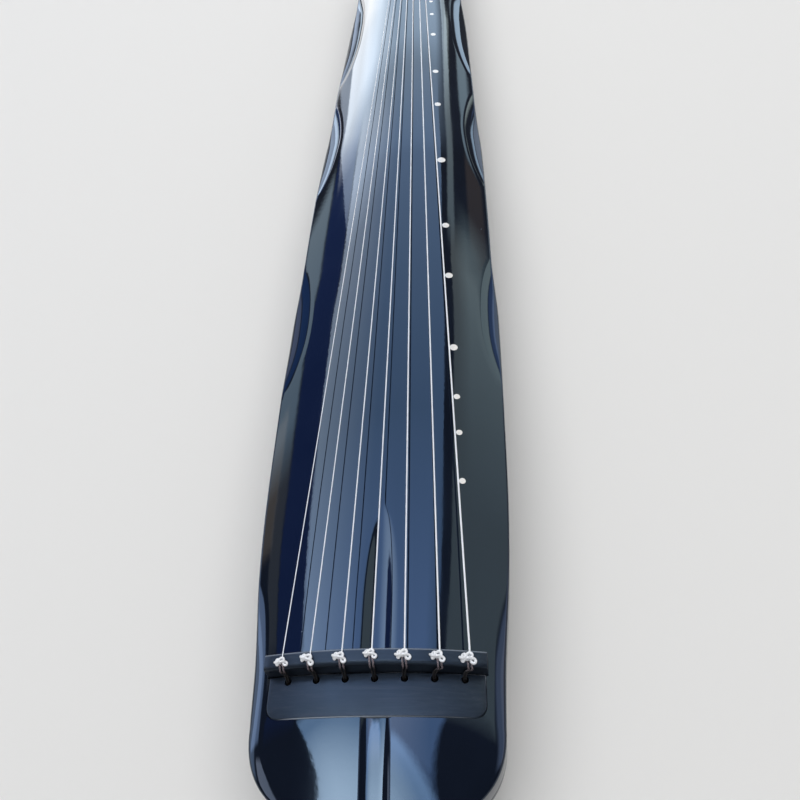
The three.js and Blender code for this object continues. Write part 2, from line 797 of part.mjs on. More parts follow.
// The loop cord: out of the knot, down the bridge's front and through the strip into the peg's bore.
function loopCord(n) {
  const r = cordDiameter / 2;
  const x = bridgeX(n);
  const holeX = across(n, holePitch);
  const top = bridgeTop(x);
  const start = -knotPlace - knotDepth / 2 - seatGap;
  const lip = surfaceAt(holeX, -holePlace) + stripProud;
  const off = r + seatGap;
  const points = [
    new THREE.Vector3(x, start, top + off),
    new THREE.Vector3(x, -bridgeTopDepth - off / 2, top + off / 2),
    new THREE.Vector3(x, -bridgeDepth - off, top - 2 * r),
    new THREE.Vector3((x + holeX) / 2, -holePlace + r / 3, lip + 2 * r),
    new THREE.Vector3(holeX, -holePlace, lip),
    new THREE.Vector3(holeX, -holePlace, inlayFloor() - cordDiameter),
    new THREE.Vector3(holeX, -holePlace, pegTop - pegBoreDepth + seatGap),
  ];
  return tube(points, r, 8);
}

const stringRadius = (n) => stringDiameters[n - 1] / 2;

// The knot at the string's start: two lumps and the small loop that the cord passes.
function knotSolid(n) {
  const x = bridgeX(n);
  const thick = stringDiameters[n - 1] / stringDiameters[0];
  const scale = (1 + thick) / 2;
  const base = bridgeTop(x) + seatGap;
  const lump = (dx, dy, width, depth, height) => {
    const ball = new THREE.SphereGeometry(1, 7, 5);
    ball.scale((width * scale) / 2, (depth * scale) / 2, (height * scale) / 2);
    ball.translate(x + dx * scale, -knotPlace + dy * scale, base + (height * scale) / 2);
    return toSolid(ball);
  };
  const eye = new THREE.TorusGeometry(knotDepth / 4, knotDepth / 9, 4, 8);
  eye.translate(knotLength / 4, -knotDepth / 8, knotHeight / 3).scale(scale, scale, scale);
  eye.translate(x, -knotPlace, base);
  let solid = lump(-knotLength / 4, knotDepth / 12, knotLength / 2, knotDepth * 0.8, knotHeight);
  solid = solid.add(lump(0, 0, knotLength / 2, knotDepth * 0.9, knotHeight * 0.9));
  return solid.add(toSolid(eye));
}

// The strings that go to each goose foot, from the top of its neck down.
const footSide = (n) => (n <= studSideStrings ? 1 : -1);
const footStrings = (side) => stringNumbers.filter((n) => footSide(n) === side);

const footNeckTop = underside - seatGap - footFlange;
const footNeckLow = 1.7 * footBase;

// The gap between turns that fills a foot's neck with its strings.
function windingGap(side) {
  const wound = footStrings(side).map((n) => stringDiameters[n - 1] * (windingTurns + 1));
  const taken = wound.reduce((sum, height) => sum + height, 0);
  const gaps = wound.length * (windingTurns + 1) + 1;
  return (footNeckTop - footNeckLow - taken) / gaps;
}

// Top of a string's winding on its foot: each string has its own band of the neck.
function windingTop(n) {
  const side = footSide(n);
  const gap = windingGap(side);
  let top = footNeckTop - gap;
  for (const m of footStrings(side)) {
    if (m === n) return top - stringRadius(n);
    top -= (windingTurns + 1) * (stringDiameters[m - 1] + gap);
  }
  return top;
}

// The whole route of a string: bridge, nut, round the tail, under the board, round its goose foot.
function stringRoute(n) {
  const r = stringRadius(n);
  const off = r + seatGap;
  const startX = bridgeX(n);
  const x = across(n, nutPitch);
  const points = [new THREE.Vector3(startX, -knotPlace, bridgeTop(startX) + knotHeight / 2)];
  points.push(new THREE.Vector3(startX, -bridgeRound, bridgeTop(startX) + off));
  const nutTop = crownAt(stringLength) + nutHeight;
  points.push(new THREE.Vector3(x, stringLength + bridgeRound, nutTop + off));
  const steps = 3;
  for (let i = 0; i <= steps; i += 1) {
    const angle = (Math.PI / 2) * (1 - i / steps);
    const reach = (nutRound + off) / Math.cos(Math.PI / (4 * steps));
    const y = tailEnd - nutRound + reach * Math.cos(angle);
    points.push(new THREE.Vector3(x, y, nutTop - nutRound + reach * Math.sin(angle)));
  }
  const lowZ = underside - lowerNutDrop;
  for (let i = 0; i <= steps; i += 1) {
    const angle = -(Math.PI / 2) * (i / steps);
    const reach = (lowerNutRound + off) / Math.cos(Math.PI / (4 * steps));
    const y = tailEnd - lowerNutRound + reach * Math.cos(angle);
    points.push(new THREE.Vector3(x, y, lowZ + lowerNutRound + reach * Math.sin(angle)));
  }
  points.push(new THREE.Vector3(x, tailEnd - lowerNutDepth, lowZ - off));
  return points.concat(windingPoints(n, x));
}

const windingSteps = 10;

// The winding of a string on its foot, from the point where it first touches the neck.
function windingPoints(n, x) {
  const side = footSide(n);
  const radius = footNeckRadius + seatGap + stringRadius(n);
  const centre = new THREE.Vector3(side * footHalfSpacing, footPlace, 0);
  const from = new THREE.Vector2(x - centre.x, tailEnd - lowerNutDepth - centre.y);
  const toTail = Math.atan2(from.y, from.x);
  const reach = radius / Math.cos(Math.PI / windingSteps);
  const start = toTail + side * Math.acos(reach / from.length());
  const pitch = stringDiameters[n - 1] + windingGap(side);
  return helix(centre, radius, start, windingTurns, windingTop(n), pitch, side, windingSteps);
}

function string(n) {
  const body = toSolid(tube(stringRoute(n), stringRadius(n), 5));
  return toGeometry(body.add(knotSolid(n)));
}

function stud(index) {
  return studDisc(index, studDiameters[index] / 2, studProud, studThickness, 16);
}

function tailNut() {
  return acrossBody(nutProfile(), -nutHalfLength, nutHalfLength);
}

function lowerNut() {
  const low = underside - lowerNutDrop;
  const high = underside + lowerNutThickness;
  const start = tailEnd - lowerNutDepth;
  const points = [[tailEnd, high], [start, high], [start, underside], [start + lowerNutDrop, low]];
  const steps = 4;
  for (let i = 0; i <= steps; i += 1) {
    const angle = -(Math.PI / 2) * (1 - i / steps);
    points.push([
      tailEnd - lowerNutRound + lowerNutRound * Math.cos(angle),
      low + lowerNutRound + lowerNutRound * Math.sin(angle),
    ]);
  }
  return acrossBody(points, -nutHalfLength, nutHalfLength);
}

// A thin plate on the arched face beside the nut, with a swept front edge.
function crownPlate(side) {
  const rows = 8;
  const columns = 5;
  const inner = nutHalfLength + 2 * seatGap;
  const rings = [];
  for (let i = 0; i <= rows; i += 1) {
    const share = i / rows;
    const y = THREE.MathUtils.lerp(tailEnd - crownLength, tailEnd - tailCorner / 3, share);
    const outer = halfWidth(y) - crownOuterMargin;
    const sweep = crownSweep * Math.max(1 - 2.5 * share, 0) ** 2;
    const start = inner + Math.min(sweep, (outer - inner) * 0.8);
    const low = [];
    const high = [];
    for (let k = 0; k <= columns; k += 1) {
      const x = side * THREE.MathUtils.lerp(start, outer, k / columns);
      const face = surfaceAt(x, y);
      low.push(new THREE.Vector3(x, y, face + seatGap));
      const edge = k === 0 || k === columns ? 0.6 : 1;
      high.push(new THREE.Vector3(x, y, face + crownPlateHeight * edge));
    }
    rings.push(low.concat(high.toReversed()));
  }
  return facingOut(loft(rings, inXZ));
}

function gooseFoot(side) {
  const top = underside - seatGap;
  const profile = [
    [0, 0],
    [footBaseRadius - footBase / 3, 0],
    [footBaseRadius, footBase / 3],
    [footBaseRadius, footBase],
    [footNeckRadius, footNeckLow],
    [footNeckRadius, footNeckTop],
    [footFlangeRadius, footNeckTop],
    [footFlangeRadius, top],
    [tenonRadius, top],
    [tenonRadius, top + tenonLength],
    [0, top + tenonLength],
  ];
  const outline = profile.map(([r, z]) => new THREE.Vector2(r, z));
  const geometry = new THREE.LatheGeometry(outline, 20).rotateX(Math.PI / 2);
  const solid = facingOut(geometry.toNonIndexed());
  return solid.translate(side * footHalfSpacing, footPlace, 0);
}

// A guard block beside the pegs: longer at the board than at its flat foot.
function pegGuard(side) {
  const top = underside - seatGap;
  const profile = [
    [-guardFootLength / 2, 0],
    [guardFootLength / 2, 0],
    [guardLength / 2, top * 0.45],
    [guardLength / 2, top],
    [-guardLength / 2, top],
    [-guardLength / 2, top * 0.45],
  ];
  const placed = profile.map(([y, z]) => [y - holePlace, z]);
  const middle = side * guardMiddle;
  const half = guardThickness / 2 - seatGap;
  let solid = toSolid(acrossBody(placed, middle - half, middle + half));
  const tenon = roundedShape(guardTenonHalf, guardFootLength / 4, 0);
  const high = underside + guardTenonHeight;
  solid = solid.add(toSolid(prism(tenon, middle, -holePlace, top - overrun, high)));
  return toGeometry(solid);
}

function heavenPost() {
  const y = heavenPlaceShare * stringLength;
  const low = seam - glueGap + seatGap;
  return bar(heavenRadius, 0, y, low, ceilingAt(heavenRadius, y) - seatGap, 20);
}

function earthPost() {
  const y = earthPlaceShare * stringLength;
  const shape = roundedShape(earthHalfWidth, earthHalfWidth, 0);
  const low = seam - glueGap + seatGap;
  return prism(shape, 0, y, low, ceilingAt(earthHalfWidth, y) - seatGap);
}

const lacquer = { color: 0x0b0d14, roughness: 0.12, metalness: 0 };
const hardwood = { color: 0x2a2a2e, roughness: 0.45, metalness: 0 };
const rosewood = { color: 0x2b1a14, roughness: 0.4, metalness: 0 };
const bareWood = { color: 0xb08a58, roughness: 0.8, metalness: 0 };
const pearl = { color: 0xe9e9e4, roughness: 0.25, metalness: 0 };
const white = { color: 0xdfe2e6, roughness: 0.35, metalness: 0 };
const silk = { color: 0x2a1a1c, roughness: 0.8, metalness: 0 };

const guqin = new THREE.Group();

function addPiece(name, geometry, finish) {
  const piece = new THREE.Mesh(geometry, new THREE.MeshStandardMaterial(finish));
  piece.name = name;
  guqin.add(piece);
}

addPiece("top_board", topBoard(), lacquer);
addPiece("bottom_board", bottomBoard(), lacquer);
addPiece("bridge", bridge(), hardwood);
addPiece("string_hole_strip", stringHoleStrip(), hardwood);
addPiece("peg_pool_plate", pegPoolPlate(), hardwood);
addPiece("tail_nut", tailNut(), hardwood);
addPiece("lower_nut", lowerNut(), hardwood);
addPiece("heaven_post", heavenPost(), bareWood);
addPiece("earth_post", earthPost(), bareWood);
for (const [side, place] of [[-1, "left"], [1, "right"]]) {
  addPiece(`crown_plate_${place}`, crownPlate(side), hardwood);
  addPiece(`goose_foot_${place}`, gooseFoot(side), rosewood);
  addPiece(`peg_guard_${place}`, pegGuard(side), rosewood);
}
for (let i = 0; i < studShares.length; i += 1) addPiece(`stud_${i + 1}`, stud(i), pearl);
let cordGap = Infinity;
let stringGap = Infinity;
for (const n of stringNumbers) {
  const wrap = pegCord(n);
  addPiece(`peg_${n}`, peg(n), rosewood);
  addPiece(`peg_cord_${n}`, wrap.geometry, silk);
  addPiece(`loop_cord_${n}`, loopCord(n), silk);
  addPiece(`string_${n}`, string(n), white);
  cordGap = Math.min(cordGap, wrap.gap);
  const winding = windingPoints(n, across(n, nutPitch));
  stringGap = Math.min(stringGap, leastGap(winding, stringDiameters[n - 1], windingSteps));
}
console.log(`least gap in a peg cord's winding ${cordGap.toFixed(2)} mm`);
console.log(`least gap in a string's winding ${stringGap.toFixed(2)} mm`);

// The origin is the middle of the part on the surface that it stands on.
const box = new THREE.Box3().setFromObject(guqin);
const middle = box.getCenter(new THREE.Vector3());
for (const piece of guqin.children) piece.position.set(-middle.x, -middle.y, -box.min.z);

export default guqin;
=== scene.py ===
import math

import bpy
from mathutils import Matrix, Quaternion, Vector


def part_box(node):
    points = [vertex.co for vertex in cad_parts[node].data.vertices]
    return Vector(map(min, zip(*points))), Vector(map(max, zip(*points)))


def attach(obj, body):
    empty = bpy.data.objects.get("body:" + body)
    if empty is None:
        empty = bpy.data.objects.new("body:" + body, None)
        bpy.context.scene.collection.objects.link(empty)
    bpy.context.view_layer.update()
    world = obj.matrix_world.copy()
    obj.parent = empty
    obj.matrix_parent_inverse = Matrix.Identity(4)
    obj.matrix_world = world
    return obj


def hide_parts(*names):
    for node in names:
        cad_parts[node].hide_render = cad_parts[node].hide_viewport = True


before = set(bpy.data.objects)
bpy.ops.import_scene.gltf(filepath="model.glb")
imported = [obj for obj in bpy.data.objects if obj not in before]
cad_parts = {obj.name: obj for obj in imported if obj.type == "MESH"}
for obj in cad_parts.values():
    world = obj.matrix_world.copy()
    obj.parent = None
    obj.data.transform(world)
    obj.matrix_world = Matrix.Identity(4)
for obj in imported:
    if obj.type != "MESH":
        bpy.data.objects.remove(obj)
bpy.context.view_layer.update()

# Sizes of the instrument
STRING_LENGTH = 1120.0
HEAD_LENGTH, HEAD_ARC = 104.0, 62.0
TAIL_LENGTH, TAIL_CORNER, TAIL_ROUND = 14.0, 12.0, 1.2
HALF_WIDTH = 98.0
STAND, THICKNESS, BOTTOM = 30.0, 51.0, 11.0
ARCH_DROP = 12.0
EDGE_ROUND, BOTTOM_ROUND = 1.4, 3.0
HEAD_POWER, ARCH_POWER = 2.4, 2.2
SEAT_GAP, GLUE_GAP = 0.3, 0.2
OUTLINE = [
    (-0.0375, 0.871), (0, 0.893), (0.054, 0.947), (0.107, 0.978), (0.18, 0.991), (0.282, 1),
    (0.305, 0.995), (0.329, 0.98), (0.355, 0.966), (0.41, 0.96), (0.47, 0.949), (0.503, 0.942),
    (0.5375, 0.93), (0.571, 0.905), (0.6125, 0.882), (0.653, 0.867), (0.696, 0.852), (0.739, 0.838),
    (0.786, 0.817), (0.82, 0.79), (0.844, 0.77), (0.93, 0.735), (1, 0.712), (1.0125, 0.708),
]
CROWN = [
    (-0.093, 0.7), (-0.0375, 0.935), (0, 0.965), (0.09, 0.975), (0.27, 0.965), (0.5, 0.935),
    (0.75, 0.905), (0.9, 0.875), (1, 0.835), (1.0125, 0.825),
]
ARCH = [
    (-0.093, 0.4), (-0.0375, 0.86), (0, 0.95), (0.27, 1), (0.5, 1), (0.75, 0.92), (1, 0.68),
    (1.0125, 0.66),
]
# Each facet along the edge: its middle as a share of the string, half its length, its width.
FACETS = [(0.2875, 84.0, 18.0), (0.546, 95.0, 18.0), (0.777, 130.0, 20.0)]
FACET_SLOPE, FACET_RADIUS = 0.12, 55.0
HEAD_FACET_WIDTH, HEAD_FACET_REACH, HEAD_FACET_FADE = 8.0, 66.0, 4
HEAD_FACET_SLOPE, HEAD_FACET_RADIUS = 0.22, 36.0
GROOVE_HALF, GROOVE_DEPTH, GROOVE_REACH, GROOVE_NOSE = 15.6, 2.45, 117.0, 83.0
GROOVE_NOSE_POWER, GROOVE_FADE = 0.5, 1.6
HEAD_GROOVE_HALF, HEAD_GROOVE_DEPTH, GROOVE_CHANGE = 10.3, 2.0, (-35.0, -5.0)
HEAD_GROOVE_SIDE = 1.4
CAVITY_START, CAVITY_END_MARGIN, WALL, BOARD = 34.0, 84.0, 16.0, 11.0
BRIDGE_HALF, BRIDGE_DEPTH, BRIDGE_HEIGHT, BRIDGE_ARCH = 75.0, 10.5, 16.0, 10.0
BRIDGE_ROUND, INLAY = 0.9, 3.0
STRIP_HALF, STRIP_FRONT, STRIP_PROUD, STRIP_CORNER = 73.5, 39.0, 0.9, 9.0
HOLE_PLACE, HOLE_PITCH, HOLE_RADIUS = 14.8, 19.9, 2.5
STRINGS = range(1, 8)
STRING_WIDTHS = [1.4, 1.25, 1.15, 1.05, 0.95, 0.85, 0.75]
BRIDGE_PITCH, NUT_PITCH = 21.0, 6.2
BRIDGE_SHIFTS = [0.7, 2.2, 0.3, -0.3, 0.7, 0, 1.2]
PEG_TOP_R, PEG_NECK_R, PEG_BODY_R, PEG_WAIST_R, PEG_FOOT_R = 5.4, 4.1, 6.9, 5.7, 6.3
PEG_BORE_R, PEG_BORE_DEPTH, PEG_COLLAR, PEG_NECK, PEG_FLOOR = 2.0, 15.0, 2.6, 8.5, 2.5
WRAP_TURNS, WRAP_WIDTH, WRAP_GAP = 2, 1.7, 0.6
POOL_DEPTH, POOL_HALF_DEPTH, POOL_END, PLATE, LEDGE = 20.0, 13.0, 5.0, 3.0, 1.5
GUARD_THICK, GUARD_LENGTH, GUARD_FOOT, GUARD_TENON = 11.0, 38.0, 30.0, 7.0
STUDS = [1 / 8, 1 / 6, 1 / 5, 1 / 4, 1 / 3, 2 / 5, 1 / 2, 3 / 5, 2 / 3, 3 / 4, 4 / 5, 5 / 6, 7 / 8]
STUD_WIDTHS = [5.3, 5.3, 5.5, 7.2, 7.3, 7.3, 9, 7.4, 7.3, 7, 5.5, 5.3, 5.2]
STUD_HEAD, STUD_TAIL, STUD_THICK, STUD_PROUD = 66.0, 26.7, 1.0, 0.1
NUT_HALF, NUT_HEIGHT, NUT_DEPTH, NUT_ROUND = 24.0, 3.0, 5.0, 8.0
LOWER_NUT_DEPTH, LOWER_NUT_THICK, LOWER_NUT_DROP, LOWER_NUT_ROUND = 16.0, 8.0, 1.0, 5.0
CROWN_LENGTH, CROWN_HEIGHT, CROWN_MARGIN, CROWN_SWEEP = 78.0, 2.4, 9.0, 26.0
FOOT_SHARE, FOOT_SPACING, FOOT_NECK_R, FOOT_FLANGE_R, FOOT_FLANGE = 0.69, 46.0, 8.5, 13.0, 3.5
FOOT_BASE_R, FOOT_BASE, TENON_R, TENON_LENGTH = 14.0, 3.0, 8.0, 9.0
WINDING_TURNS, STUD_SIDE_STRINGS = 1.75, 4
DRAGON, DRAGON_LENGTH, PHOENIX, PHOENIX_LENGTH, SOUND_HALF = 0.375, 200.0, 0.82, 100.0, 13.0
# How far cutters reach past a face, and the play round the pockets in the top board
OVERRUN, POCKET_GAP, BRIDGE_BACK_GAP = 4.0, 0.25, 0.6
STUD_SIDE_GAP, STUD_FLOOR_GAP = 0.08, 0.2
# Small rounds: bridge front and back, block ends, strip, seam, guard corners and guard foot
BRIDGE_FRONT_ROUND, BRIDGE_BACK_ROUND, END_ROUND, STRIP_ROUND = 3.0, 0.7, 0.5, 0.9
SEAM_ROUND, GUARD_ROUND, GUARD_FOOT_ROUND = 0.35, 2.2, 0.8
# The peg cords: radius of a strand and of its twist as shares of the winding's width, twists and steps
# in one turn round the neck
WRAP_STRAND, WRAP_TWIST, WRAP_TWISTS, WRAP_STEPS = 0.27, 0.24, 9, 64
# The loop cords: radius of a strand, half the space between two, radius of the twist, its turns, steps
LOOP_STRAND, LOOP_SPREAD, LOOP_TWIST, LOOP_TWISTS, LOOP_STEPS = 0.66, 1.15, 0.7, 5.5, 90
# How far under the bridge's top a loop cord starts to get its painted highlight, and where that painted
# highlight is full
HIGHLIGHT_LOW, HIGHLIGHT_FULL = 5.5, 2.0

TAIL_END = STRING_LENGTH + TAIL_LENGTH
SEAM = STAND + BOTTOM
ARC_START = HEAD_ARC - HEAD_LENGTH
NOSE = -HEAD_LENGTH
FOOT_PLACE = FOOT_SHARE * STRING_LENGTH
POOL_ROOF = STAND + POOL_DEPTH
PLATE_TOP = POOL_ROOF + SEAT_GAP + PLATE
POOL_HALF = 3 * HOLE_PITCH + PEG_BODY_R + POOL_END
GUARD_MIDDLE = POOL_HALF + LEDGE + GUARD_THICK / 2

# The CAD's origin is the middle of the part: the bridge's sounding edge tells how far along that is.
ORIGIN_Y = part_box("bridge")[1].y * 1000
TO_FRAME = Matrix.Scale(0.001, 4) @ Matrix.Translation((0, ORIGIN_Y, 0))


# The form of the body
def clamp(value):
    return min(max(value, 0), 1)


def smooth_at(table, place):
    """Value of a table of places and values, on a smooth curve through its points."""
    last = len(table) - 1

    def slope(i):
        before, after = table[max(i - 1, 0)], table[min(i + 1, last)]
        return (after[1] - before[1]) / (after[0] - before[0])

    i = 0
    while i < last - 1 and place > table[i + 1][0]:
        i += 1
    span = table[i + 1][0] - table[i][0]
    t = clamp((place - table[i][0]) / span)
    start = table[i][1] * (1 + 2 * t) * (1 - t) ** 2 + slope(i) * span * t * (1 - t) ** 2
    end = table[i + 1][1] * t * t * (3 - 2 * t) - slope(i + 1) * span * t * t * (1 - t)
    return start + end


def plain_half(y):
    return HALF_WIDTH * smooth_at(OUTLINE, max(y, ARC_START) / STRING_LENGTH)


def half_width(y):
    plain = plain_half(y)
    if y < ARC_START:
        t = min((ARC_START - y) / HEAD_ARC, 1)
        return plain * (1 - t ** HEAD_POWER) ** (1 / HEAD_POWER)
    past = min(max(y - (TAIL_END - TAIL_CORNER), 0) / TAIL_CORNER, 1)
    return plain - TAIL_CORNER * (1 - math.sqrt(1 - past ** 2))


def crown_at(y):
    return STAND + THICKNESS * smooth_at(CROWN, y / STRING_LENGTH)


def surface_at(x, y):
    drop = ARCH_DROP * smooth_at(ARCH, y / STRING_LENGTH)
    return crown_at(y) - drop * min(abs(x) / plain_half(y), 1) ** ARCH_POWER


def facet_at(y):
    """The facet cut along the edge at a place: its width, the slope it starts with and its curve."""
    left = clamp(1 - y / HEAD_FACET_REACH)
    width = HEAD_FACET_WIDTH * (1 - (1 - left) ** HEAD_FACET_FADE)
    slope, radius = HEAD_FACET_SLOPE * left, HEAD_FACET_RADIUS
    for share, half_length, full_width in FACETS:
        t = (y - share * STRING_LENGTH) / half_length
        if abs(t) < 1:
            width, slope, radius = full_width * (1 - t * t), FACET_SLOPE, FACET_RADIUS
    return width, slope, radius


def edge_distance(x, y):
    """How far a place on the face is from the outline, round the head too."""
    beside = max(half_width(y) - abs(x), 0)
    plain = plain_half(ARC_START)
    nose = ARC_START - HEAD_ARC * max(1 - min(abs(x) / plain, 1) ** HEAD_POWER, 0) ** (1 / HEAD_POWER)
    ahead = max(y - nose, 0)
    both = math.hypot(beside, ahead)
    return beside * ahead / both if both > 0 else 0


def edge_drop(x, y):
    """How far the face drops towards the outline: the facet and the small round of the edge."""
    width, slope, radius = facet_at(y)
    distance = edge_distance(x, y)
    cut_in = max(width - distance, 0)
    round_in = max(EDGE_ROUND - distance, 0)
    rounding = EDGE_ROUND - math.sqrt(EDGE_ROUND ** 2 - round_in ** 2)
    return slope * cut_in + cut_in ** 2 / (2 * radius) + rounding


def inset_at(y, depth):
    """How far out from the middle the face is still this deep inside the outline."""
    low, high = 0.0, half_width(y)
    for _ in range(24):
        middle = (low + high) / 2
        if edge_distance(middle, y) > depth:
            low = middle
        else:
            high = middle
    return low


def groove_at(y):
    """Half the groove's width on the board, its depth, and how much of it is still the head's groove."""
    left = clamp((GROOVE_REACH - y) / GROOVE_NOSE)
    share = (1 - (1 - left) ** 2) ** GROOVE_NOSE_POWER
    start, end = GROOVE_CHANGE
    head = 1 - clamp((y - start) / (end - start))
    return GROOVE_HALF * share, GROOVE_DEPTH * share ** GROOVE_FADE, head


def groove_dip(x, y):
    """Depth of the groove at a place: crisp edges on the head, soft ones on the board."""
    half, depth, head = groove_at(y)
    soft = depth * (1 + math.cos(math.pi * x / half)) / 2 if abs(x) < half else 0
    crisp = HEAD_GROOVE_DEPTH * max(1 - ((x - HEAD_GROOVE_SIDE) / HEAD_GROOVE_HALF) ** 4, 0)
    return crisp * head + soft * (1 - head)


def face_height(x, y):
    """Height of the lacquered face with its facets, its midrib groove and its rounded tail end."""
    end = clamp(1 - (TAIL_END - y) / TAIL_ROUND)
    rounding = TAIL_ROUND * (1 - math.sqrt(1 - end * end))
    return surface_at(x, y) - edge_drop(x, y) - groove_dip(x, y) - rounding


def bridge_top(x):
    return crown_at(0) + BRIDGE_HEIGHT - BRIDGE_ARCH * (x / BRIDGE_HALF) ** 2


def across(n, pitch):
    return (4 - n) * pitch


def bridge_x(n):
    """Where a string crosses the bridge: even steps, each moved a little where it was tied."""
    return across(n, BRIDGE_PITCH) + BRIDGE_SHIFTS[n - 1]


INLAY_FLOOR = surface_at(STRIP_HALF, -STRIP_FRONT) - INLAY
HOLES = [(across(n, HOLE_PITCH), -HOLE_PLACE) for n in STRINGS]


def strip_top(x, y):
    return surface_at(x, y) + STRIP_PROUD


# Small helpers for work on a mesh
def put_down():
    if bpy.context.object and bpy.context.object.mode != "OBJECT":
        leave_edit()
    bpy.ops.object.select_all(action="DESELECT")


def take(piece):
    put_down()
    piece.select_set(True)
    bpy.context.view_layer.objects.active = piece


def leave_edit():
    bpy.ops.object.mode_set(mode="OBJECT")


def edit_all():
    """Goes into edit mode with the whole mesh selected."""
    bpy.ops.object.mode_set(mode="EDIT")
    bpy.ops.mesh.select_all(action="SELECT")


def face_out():
    """Turns every face of the piece in hand outwards."""
    edit_all()
    bpy.ops.mesh.normals_make_consistent(inside=False)
    leave_edit()


def made(name):
    """The piece just added, with its name, its size and place taken into its mesh."""
    piece = bpy.context.object
    piece.name = name
    bpy.ops.object.transform_apply()
    return piece


def pick(piece, kind, test):
    """Selects faces by their middle and normal, or edges by their middle and run, in edit mode."""
    leave_edit()
    mesh = piece.data
    for part in (mesh.vertices, mesh.edges, mesh.polygons):
        part.foreach_set("select", [False] * len(part))
    verts = mesh.vertices
    if kind == "FACE":
        for face in mesh.polygons:
            face.select = test(face.center, face.normal)
    else:
        for edge in mesh.edges:
            a, b = verts[edge.vertices[0]].co, verts[edge.vertices[1]].co
            edge.select = test((a + b) / 2, b - a)
    bpy.ops.object.mode_set(mode="EDIT")
    bpy.ops.mesh.select_mode(type=kind)


def round_edges(piece, width, segments, test):
    """Rounds the edges whose middle and run pass the test."""
    pick(piece, "EDGE", test)
    bpy.ops.mesh.bevel(offset=width, segments=segments, affect="EDGES", clamp_overlap=True)
    leave_edit()


def round_crosswise(piece, width, segments, y, z):
    """Rounds the edge that runs across the body at a place along it and a height."""
    def here(middle, run):
        return abs(run.x) > 1 and abs(middle.y - y) < 0.1 and abs(middle.z - z) < 0.1

    round_edges(piece, width, segments, here)


def finish_piece(piece, slot, nodes, smooth, body="instrument_body"):
    """Puts a finished piece in the frame: metres, origin in the middle, shading, finish and body."""
    take(piece)
    bpy.ops.object.transform_apply()
    piece.data.transform(TO_FRAME)
    face_out()
    bpy.ops.object.shade_smooth_by_angle(angle=math.radians(smooth))
    if not piece.data.materials:
        piece.data.materials.append(FINISHES[slot])
    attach(piece, body)
    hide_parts(*nodes)
    put_down()


def sheet(name, columns, rows, place):
    """A grid whose vertices are set one by one on a form: place(column, row) gives each one's point."""
    put_down()
    bpy.ops.mesh.primitive_grid_add(x_subdivisions=columns, y_subdivisions=rows, size=2)
    piece = made(name)
    for vert in piece.data.vertices:
        column = round((vert.co.x + 1) / 2 * columns)
        row = round((vert.co.y + 1) / 2 * rows)
        vert.co = place(column, row)
    return piece


def close_down(piece, level):
    """Turns a sheet into a block: its rim is drawn down to the level of each place and filled."""
    take(piece)
    edit_all()
    bpy.ops.mesh.region_to_loop()
    bpy.ops.mesh.extrude_edges_move(TRANSFORM_OT_translate={"value": (0, 0, -1)})
    leave_edit()
    for vert in piece.data.vertices:
        if vert.select:
            vert.co.z = level(vert.co.x, vert.co.y)
    bpy.ops.object.mode_set(mode="EDIT")
    bpy.ops.mesh.edge_face_add()
    face_out()


def block(name, low, high):
    """A cube at its size and place, from its lowest to its highest corner."""
    put_down()
    bpy.ops.mesh.primitive_cube_add(size=1, location=[(a + b) / 2 for a, b in zip(low, high)])
    bpy.context.object.scale = [b - a for a, b in zip(low, high)]
    return made(name)


def slices(piece, places, direction=(1, 0, 0)):
    """Cuts a piece across at each place, so that it can bend."""
    take(piece)
    for place in places:
        edit_all()
        point = [place * part for part in direction]
        bpy.ops.mesh.bisect(plane_co=point, plane_no=direction)
    leave_edit()


def shape_top(piece, high, height):
    """Sets the points of a block's flat top on a form."""
    for vert in piece.data.vertices:
        if vert.co.z > high - 0.01:
            vert.co.z = height(vert.co.x, vert.co.y)


def cut(piece, cutter, material=None):
    """Cuts one piece with another, whose faces can leave a material, and clears the cutter away."""
    if material:
        cutter.data.materials.append(material)
    take(piece)
    tool = piece.modifiers.new("cut", "BOOLEAN")
    tool.operation = "DIFFERENCE"
    tool.solver = "EXACT"
    tool.object = cutter
    tool.material_mode = "TRANSFER" if material else "INDEX"
    bpy.ops.object.modifier_apply(modifier=tool.name)
    bpy.data.objects.remove(cutter)


def joined(pieces, name):
    """Several pieces as one, on the mesh of the first."""
    put_down()
    for one in pieces:
        one.select_set(True)
    bpy.context.view_layer.objects.active = pieces[0]
    bpy.ops.object.join()
    return made(name)


def round_bars(name, radius, places, low, high, sides=32):
    """Upright round bars at several places, as one cutter."""
    put_down()
    bars = []
    for x, y in places:
        bpy.ops.mesh.primitive_cylinder_add(
            vertices=sides, radius=radius, depth=high - low, location=(x, y, (low + high) / 2)
        )
        bars.insert(0, bpy.context.object)
    return joined(bars, name)


def slot_block(name, half_x, half_y, corner, y, low, high, segments=8):
    """A block with round upright corners, on the body's middle line."""
    piece = block(name, (-half_x, y - half_y, low), (half_x, y + half_y, high))
    radius = min(corner, half_x - 0.01, half_y - 0.01)
    round_edges(piece, radius, segments, lambda middle, run: abs(run.z) > 0.5 * (high - low))
    return piece


def turned(name, profile, sides, y=0.0):
    """Turns a round piece: a disc drawn up from station to station of [radius, height]."""
    put_down()
    radius, height = profile[0]
    bpy.ops.mesh.primitive_circle_add(
        vertices=sides, radius=radius, fill_type="NGON", location=(0, y, height)
    )
    piece = made(name)
    edit_all()
    for next_radius, next_height in profile[1:]:
        rise = next_height - height
        bpy.ops.mesh.extrude_region_move(TRANSFORM_OT_translate={"value": (0, 0, rise)})
        share = next_radius / radius
        bpy.ops.transform.resize(value=(share, share, 1), center_override=(0, y, next_height))
        radius, height = next_radius, next_height
    leave_edit()
    return piece


